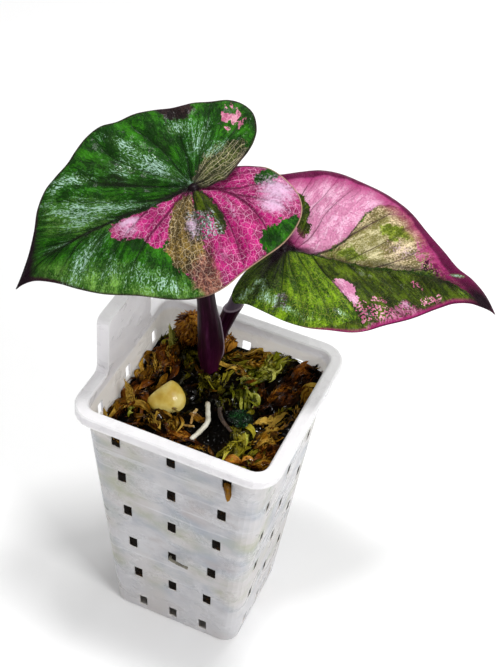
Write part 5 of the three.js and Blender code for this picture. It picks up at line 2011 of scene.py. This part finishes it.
class BasketPlastic(Finish):
    """Polypropylene, natural and injection moulded: milky, with painted shade in cool blotches where wet
    moss lies behind it.
    """

    def __init__(self) -> None:
        """Build the milky body, painted shade where the moss lies behind it, painted glints along lines of
        water, faint bright streaks that run round it, and painted light on the inner faces and the rim.
        """
        super().__init__("moulded_natural_polypropylene")
        moss_floor, moss_top = 12.5 * MM, 99 * MM
        place = self.add("TexCoord", output="Object")
        height = self.add("SeparateXYZ", place, output="Z")
        # Painted shade: between the moss's floor and top the wall is cooler and darker in blotches, where
        # moss lies behind it.
        behind = self.add("MapRange", height, from_=(moss_floor - 0.004, moss_floor + 0.016), **SMOOTH)
        above = self.add(
            "MapRange", height, from_=(moss_top - 0.002, moss_top + 0.007), to=(1, 0), **SMOOTH,
        )
        behind = self.add("Math MULTIPLY", behind, above)
        wide = self.add("Mapping", place, scale=(0.8, 0.8, 1.3))
        blotch = self.add("TexNoise", wide, scale=75, detail=5, roughness=0.6)
        shown = self.add("MapRange", blotch, from_=(0.38, 0.66), **SMOOTH)
        shown = self.add("Math MULTIPLY", shown, behind)
        tone = self.add("TexNoise", place, scale=42, detail=2)
        cool = self.add(
            "ValToRGB", tone,
            stops=[(0.36, "#a7a994"), (0.45, "#a9adab"), (0.55, "#a3a8b2"), (0.66, "#b0a9aa")],
        )
        plain = self.add("ValToRGB", tone, stops=[(0.4, "#c6c1c0"), (0.6, "#cbcace")])
        colour = self.add("Mix", shown, plain, cool)
        crinkle = self.add("TexNoise", place, scale=520, detail=5, roughness=0.62)
        fold = self.add("Math SUBTRACT", crinkle, 0.5)
        fold = self.add("Math ABSOLUTE", fold)
        line = self.add("MapRange", fold, from_=(0, 0.03), to=(1, 0))
        patches = self.add("TexNoise", wide, scale=110, detail=3, output="Fac")
        here = self.add("MapRange", patches, from_=(0.46, 0.64))
        line = self.add("Math MULTIPLY", line, here)
        line = self.add("Math MULTIPLY", line, behind)
        # Painted highlight: thin bright glints along the crinkled lines of water.
        faint = self.add("Math MULTIPLY", line, 0.4)
        colour = self.add("Mix", faint, colour, "#eceef2")
        streaky = self.add("Mapping", place, scale=(0.12, 0.12, 3))
        streak = self.add("TexNoise", streaky, scale=140, detail=3, roughness=0.6)
        bright = self.add("MapRange", streak, from_=(0.6, 0.7), to=(0, 0.5))
        bright = self.add("Math MULTIPLY", bright, behind)
        colour = self.add("Mix", bright, colour, "#e4e4e8")
        # Painted light: the inner faces are lighter, as if lit through the milky wall.
        outwards = self.add("VectorMath MULTIPLY_ADD", place, (1, 1, 0), (0, 0, -0.012))
        facing = self.add("NewGeometry", output="Normal")
        side = self.add("VectorMath DOT_PRODUCT", facing, outwards, output="Value")
        inner = self.add("MapRange", side, from_=(-0.004, -0.001), to=(0.9, 0))
        colour = self.add("Mix", inner, colour, "#ece4dc")
        # Painted light: the top of the rim is lighter, as light falls on it.
        rim = self.add("MapRange", height, from_=(0.1066, 0.1084))
        colour = self.add("Mix", rim, colour, "#e9e6ea")
        orange_peel = self.add("TexNoise", place, scale=700, detail=2)
        gloss = self.add("MapRange", here, to=(0.4, 0.2))
        self.surface(base_color=colour, roughness=gloss, ior=1.49)
        self.surface(subsurface_weight=0.95, subsurface_radius=(1, 1, 1), subsurface_scale=0.004)
        grain = self.add("Bump", height=orange_peel, strength=0.1, distance=0.0003)
        wet = self.add("Math MULTIPLY", crinkle, here)
        self.surface(normal=self.add("Bump", height=wet, strength=0.5, distance=0.0008, normal=grain))


@dataclass
class SlotMoss:
    """Moss that bulges into the basket's slots, one small pad in each."""

    wide: float = 3.34
    tall: float = 5.94
    rows: int = 5
    top: float = 100.6
    pitch: float = 18.9
    column: float = 20.4
    taper: float = 1.6
    grid: tuple[int, int] = (9, 15)

    def build(self) -> Piece:
        """Build every pad in one mesh and dress it.

        Returns:
            The finished piece.
        """
        draw = np.random.default_rng(SEED + 40)
        bits = Bits()
        for row in range(self.rows):
            z = self.top - self.pitch * row
            side = self.column - self.taper * row
            for across in (-side, 0.0, side):
                for facing in range(4):
                    if row > 0 or facing < 2:
                        self.pad(bits, facing, across, z, draw)
        piece = bits.build("slot_moss")
        seat(piece, MossSkin(Moss.GOLDEN, soaked=False), "moss_bed", "sphagnum")
        return piece

    def turned(self, places: Array, facing: int) -> Array:
        """Turn places made for the front wall to another wall: right, back or left."""
        x, y, z = places.T
        return np.column_stack([(x, y, z), (-y, x, z), (-x, -y, z), (y, -x, z)][facing])

    def wall(self, z: Array, facing: int) -> Array:
        """Give how far the wall's outer face stands from the middle at each height."""
        axis = 1 if facing in (0, 2) else 0
        return CUP.foot[axis] + (CUP.top[axis] - CUP.foot[axis]) * z / CUP.height

    def pad(self, bits: Bits, facing: int, across: float, z: float, draw: np.random.Generator) -> None:
        """Add one pad and the leaflets pressed flat on it."""
        n, m = self.grid
        u, v = np.meshgrid(np.linspace(-1, 1, n), np.linspace(-1, 1, m))
        u, v = u.ravel(), v.ravel()
        heights = z + v * self.tall / 2
        round_off = 0.25 * (np.abs(u) ** 6 + np.abs(v) ** 8)
        seed = float(draw.uniform(0, 90))
        lump = 0.35 * ripple(np.column_stack([u * 1.5, v * 2.8]), 0.9, seed)
        out = self.wall(heights, facing) - 0.14 + lump.clip(-0.35, 0.04) - round_off
        front = np.column_stack([across + u * self.wide / 2, -out, heights])
        back = np.column_stack([front[:, 0], -(self.wall(heights, facing) - 2.4), heights])
        corners = [r * n + c for r in range(m - 1) for c in range(n - 1)]
        cells = [[i, i + 1, i + n + 1, i + n] for i in corners]
        border = [*range(n), *range(2 * n - 1, n * m, n), *range(n * m - 2, n * (m - 1) - 1, -1)]
        border += [*range(n * (m - 2), 0, -n)]
        count = n * m
        quads = cells + [[i + count for i in cell[::-1]] for cell in cells]
        quads += [[a, a + count, b + count, b] for a, b in zip(border, [*border[1:], border[0]])]
        triangles = np.array([t for q in quads for t in (q[:3], [q[0], q[2], q[3]])])
        tone = 0.04 + 0.4 * ease(-v, -0.2, 1.0) * ease(u, -1, 0.6)
        tone += 0.2 * ripple(np.column_stack([u, v]), 0.4, seed)
        places = self.turned(np.vstack([front, back]), facing)
        bits.add(places, triangles, np.tile(tone.clip(0, 1), 2))
        wisps = 7
        spot = draw.uniform(-0.62, 0.62, (wisps, 2)) * (self.wide, self.tall) * 0.62
        turn = draw.normal(1.2, 0.8, wisps)
        reach = np.column_stack([np.cos(turn), np.zeros(wisps), np.sin(turn)])
        reach *= draw.uniform(1.0, 1.7, (wisps, 1))
        level = z + spot[:, 1]
        start_x, depth = across + spot[:, 0] - reach[:, 0] / 2, self.wall(level, facing) - 0.22
        feet = np.column_stack([start_x, -depth, level - reach[:, 2] / 2])
        limit = self.wide / 2 - 0.15
        feet[:, 0] = np.clip(feet[:, 0], across - limit, across + limit)
        tips = feet + reach
        tips[:, 0] = np.clip(tips[:, 0], across - limit, across + limit)
        tips[:, 2] = np.clip(tips[:, 2], z - self.tall / 2 + 0.2, z + self.tall / 2 - 0.2)
        out_way = self.turned(np.tile([0.0, -1.0, 0.0], (wisps, 1)), facing)
        shade = draw.uniform(0.1, 0.6, wisps)
        start = self.turned(feet, facing)
        bits.leaflets(start, self.turned(tips, facing) - start, out_way, np.full(wisps, 0.5), shade)


class StemSkin(Finish):
    """Stem bark, grown under the moss: brown fibres crossed by the rings that old leaves left."""

    def __init__(self) -> None:
        """Build rings a millimetre or two apart by height, broken up by fibres that run upwards."""
        super().__init__("fibrous_stem_bark")
        place = self.add("TexCoord", output="Object")
        upward = self.add("Mapping", place, scale=(1, 1, 0.2))
        fibre = self.add("TexNoise", upward, scale=900, detail=4, roughness=0.6)
        level = self.add("Mapping", place, scale=(0.1, 0.1, 1))
        ring = self.add("TexNoise", level, scale=600, detail=2)
        both = self.add("Math ADD", fibre, ring)
        share = self.add("MapRange", both, from_=(0.75, 1.25))
        colour = self.add("ValToRGB", share, stops=[(0, "#1c100a"), (0.5, "#4a2f1c"), (1, "#7d5a38")])
        self.surface(base_color=colour, roughness=0.55, ior=1.4)
        self.surface(normal=self.add("Bump", height=both, strength=0.6, distance=0.0004))


@dataclass
class KeptPiece:
    """A piece that keeps the part's own mesh: its edges are rounded by a modifier and it is dressed."""

    node: str
    finish: type[Finish]
    edge: float
    sharpest: float = 30.0
    even: bool = False

    def build(self) -> None:
        """Round the edges, even out the shading where it is asked for, and dress the piece."""
        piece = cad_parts[self.node]
        rounding = piece.modifiers.new("rounded_edges", "BEVEL")
        rounding.width = self.edge * MM
        rounding.segments = 3
        rounding.limit_method = "ANGLE"
        rounding.angle_limit = math.radians(self.sharpest)
        if self.even:
            piece.modifiers.new("even_shading", "WEIGHTED_NORMAL")
        self.finish().dress(piece)
        log.info("%s: rounded edges of %.2f mm", self.node, self.edge)


# Places of the stalks, roots and loose moss


def stalks() -> list[LeafStalk]:
    """Describe the two leaf stalks, the taller one in front."""
    return [
        LeafStalk(
            "stalk_left", "petiole_left",
            [(-7.6, 16.2, 86.6), (-7.6, 15.7, 98), (-7.6, 14.4, 113), (-8.2, 13.3, 123), (-9.5, 12.6, 134.6),
             (-12.5, 12.5, 153), (-15.3, 10.2, 180.2)],
            [2.4, 2.9, 4.4, 3.9, 3.2, 2.9, 2.7, 2.4, 2], 8, (18, 44), 0.35,
        ),
        LeafStalk(
            "stalk_right", "petiole_right",
            [(-9.4, 21.1, 86.6), (-10.2, 22.2, 99), (-8.2, 23.4, 109.4), (-4.9, 24.6, 120.4),
             (0.8, 25.4, 138.8), (6.4, 25.8, 147), (11.8, 25.5, 154.4)],
            [2.2, 2.6, 2.7, 2.6, 2.5, 2.3, 2], 150, (10, 14), 0.1, mouth=38.5,
        ),
    ]


def on_bed(*places: tuple[float, ...]) -> list[Place]:
    """Set flat places on the moss bed, each with what it rises above the bed."""
    return [(x, y, float(bed_height(x, y)) + 0.35 + (rise[0] if rise else 0)) for x, y, *rise in places]


def roots() -> list[Root]:
    """Describe the roots: those in sight and those that hold the stem base in the moss."""
    fresh = on_bed(
        (-1.6, 1.4, -1.2), (-0.6, -1), (1.2, -4.5), (2.7, -8.3, 0.6), (2.2, -12.6, 0.6), (1.2, -17.6)
    )
    old = on_bed((3.4, 2.2, -1), (4.2, -1.5), (7, -5.4), (11.7, -8.8))
    tan_a = on_bed((-3.4, -4), (-3.2, -7), (-2.6, -10.2))
    tan_b = on_bed((-7.6, -12.2), (-4, -11.9), (-0.9, -11.6))
    to_slot = [(-7, 14, 75), (-4, -2, 66), (-1.4, -16, 54), (-0.5, -24.4, 44.4), (0, -27.7, 45),
               (3.6, -28.7, 45.3), (7.3, -28.8, 45)]
    left = [(-11, 16, 75), (-19, 9, 64), (-18, -6, 44), (-11, -13, 28)]
    right = [(-4, 16, 75), (9, 11, 63), (17, 0, 46), (13, -9, 30)]
    back = [(-6.5, 21, 75), (-2, 25.5, 62), (3, 20, 42), (6, 15, 25)]
    thin, long = [0.5, 0.5, 0.4], [0.85, 0.7, 0.45]
    return [
        Root("fresh_root", "root_white", "white_root", fresh, [0.8, 0.85, 0.85, 0.8], WHITE_ROOT, 1.3),
        Root("old_root", "root_brown", "brown_root", old, [0.8, 0.75, 0.6], BROWN_ROOT, 2.1),
        Root("tan_rootlet_a", "rootlet_tan_a", "brown_root", tan_a, thin, TAN_ROOT, 3.4),
        Root("tan_rootlet_b", "rootlet_tan_b", "brown_root", tan_b, thin, TAN_ROOT, 4.2),
        Root("slot_root", "root_slot", "brown_root", to_slot, long, DARK_ROOT, 5.5),
        Root("deep_root_left", "root_deep_left", "brown_root", left, long, BROWN_ROOT, 6.1),
        Root("deep_root_right", "root_deep_right", "brown_root", right, long, BROWN_ROOT, 7.7),
        Root("deep_root_back", "root_deep_back", "brown_root", back, long, BROWN_ROOT, 8.3),
    ]


def tufts() -> list[Tuft]:
    """Describe the moss that stands at the left edge and hangs from a slot."""
    strip = [(20.2, -27.6, 100.4), (20.6, -31.2, 101), (21.1, -32.9, 99.8), (21.5, -33, 97),
             (21.7, -32.9, 93.8)]
    return [
        Tuft("tuft_left_front", "moss_tuft_left_front", Moss.GOLDEN,
             on_bed((-27, -23, -4), (-27.8, -24, 4), (-28.4, -24.4, 11.5)), 2.6, 3, 0.4, 0.75),
        Tuft("tuft_left", "moss_tuft_left", Moss.GOLDEN,
             on_bed((-25, -10, -4), (-26.4, -9.6, 3), (-28.9, -8.4, 10)), 2.4, 4, 0.7, 0.6),
        Tuft("tuft_back", "moss_tuft_back", Moss.GREEN,
             on_bed((-24.5, 20, -4), (-25.2, 20.4, 4), (-25.8, 20, 11)), 2.4, 5, 1.1, 0.7),
        Tuft("slot_strip", "slot_moss_strip", Moss.GOLDEN, strip, 2.8, 1, 0.1, 0.75, True),
    ]


def mounds() -> list[MossMound]:
    """Describe the brown lump behind the stalks and the dark green cushion in front of them."""
    lump_top = float(bed_height(-19.8, 25)) + 5.6
    cushion_top = float(bed_height(13.4, -3.4)) + 0.5
    return [
        MossMound("lump_back", "moss_lump_back", "sphagnum", Moss.RUST, (-19.8, 25, lump_top),
                  (5, 4.4, 8.6), 1500, 4.5, 1.12, 0.56, 0.25),
        MossMound("green_cushion", "algae_cushion", "green_cushion", None, (12.8, -2.9, cushion_top),
                  (5.0, 4.3, 1.9), 2600, 1.15, 0.5, 0.4),
    ]


def corm() -> PaleCorm:
    """Describe the pale corm by the balls that its skin is drawn over."""
    shoulders = [(0.3, 2.4, 2.9, 2.7), (3.9, 1.4, 0.2, 2.8), (-3.9, -2.9, -1.4, 2.8),
                 (-0.9, -3.6, -2.8, 2.9), (3.9, -1.3, -2.3, 2.9), (-0.3, 1.0, -1.2, 4.0),
                 (0.2, -0.8, 0.9, 3.8)]
    return PaleCorm((-14.3, -4.3, float(bed_height(-14.4, -4.0)) + 2.4), shoulders)


# Studio


# Each light's name, its place and its side in metres, and its power in watts
LIGHTS = (
    ("overhead", (0.05, 0.05, 0.95), 0.15, 4.2),
    ("back_window", (0.25, 0.95, 1.05), 0.5, 3.9),
    ("window", (0.6, -0.28, 0.6), 0.25, 3.1),
)


@dataclass(frozen=True)
class Studio:
    """Camera, floor and soft lights, in metres and degrees."""

    camera_place: Place = (0.119533, -0.300940, 0.431910)
    camera_right: Place = (0.91449, 0.39801, 0.07272)
    camera_down: Place = (0.31981, -0.60099, -0.73248)
    camera_forward: Place = (-0.24784, 0.69311, -0.67689)
    lens: float = 72.2
    sensor: float = 36.0
    floor_half: float = 1.2
    daylight: float = 0.45
    aim: Place = (0.0, 0.0, 0.12)

    def camera(self) -> None:
        """Set the camera where the photograph was taken from, looking down on the plant."""
        data = bpy.data.cameras.new("camera")
        data.lens = self.lens
        data.sensor_width = self.sensor
        data.clip_start = 0.01
        data.clip_end = 20
        camera = bpy.data.objects.new("camera", data)
        axes = (Vector(self.camera_right), -Vector(self.camera_down), -Vector(self.camera_forward))
        turn = Matrix(axes).transposed().to_4x4()
        camera.matrix_world = Matrix.Translation(self.camera_place) @ turn
        bpy.context.scene.collection.objects.link(camera)
        bpy.context.scene.camera = camera

    def light(self, name: str, place: Sequence[float], size: float, power: float) -> None:
        """Hang a soft square light that faces the plant."""
        data = bpy.data.lights.new(name, "AREA")
        data.size = size
        data.energy = power
        lamp = bpy.data.objects.new(name, data)
        lamp.location = place
        lamp.rotation_euler = (Vector(self.aim) - Vector(place)).to_track_quat("-Z", "Y").to_euler()
        bpy.context.scene.collection.objects.link(lamp)

    def build(self) -> None:
        """Make the camera, the floor, the world and the lights."""
        self.camera()
        mesh = bpy.data.meshes.new("floor")
        h = self.floor_half
        mesh.from_pydata([(-h, -h, 0), (h, -h, 0), (h, h, 0), (-h, h, 0)], [], [(0, 1, 2, 3)])
        floor = bpy.data.objects.new("floor", mesh)
        bpy.context.scene.collection.objects.link(floor)
        paper = Finish("matt_white_paper")
        paper.surface(base_color="#fdfdfd", roughness=0.9)
        paper.dress(floor)
        world = bpy.data.worlds.new("soft_room")
        world.use_nodes = True
        sky = world.node_tree.nodes["Background"]
        sky.inputs["Color"].default_value = tint("#ffffff")
        sky.inputs["Strength"].default_value = self.daylight
        bpy.context.scene.world = world
        for light in LIGHTS:
            self.light(*light)
        bpy.context.scene.view_settings.view_transform = "Standard"


def main() -> None:
    """Build every piece in order."""
    logging.basicConfig(level=logging.INFO, format="%(name)s %(message)s")
    Studio().build()
    for blade in (left_blade(), right_blade()):
        blade.build()
    for piece in (*stalks(), *roots(), *tufts(), *mounds(), corm()):
        piece.build()
    bed = MossBed(bunches=bunches(), hollows=HOLLOWS)
    bed.body()
    bed.shoots()
    SlotMoss().build()
    KeptPiece("basket", BasketPlastic, edge=0.14, sharpest=38.0, even=True).build()
    KeptPiece("stem_base", StemSkin, edge=0.3).build()


if __name__ == "__main__":
    main()
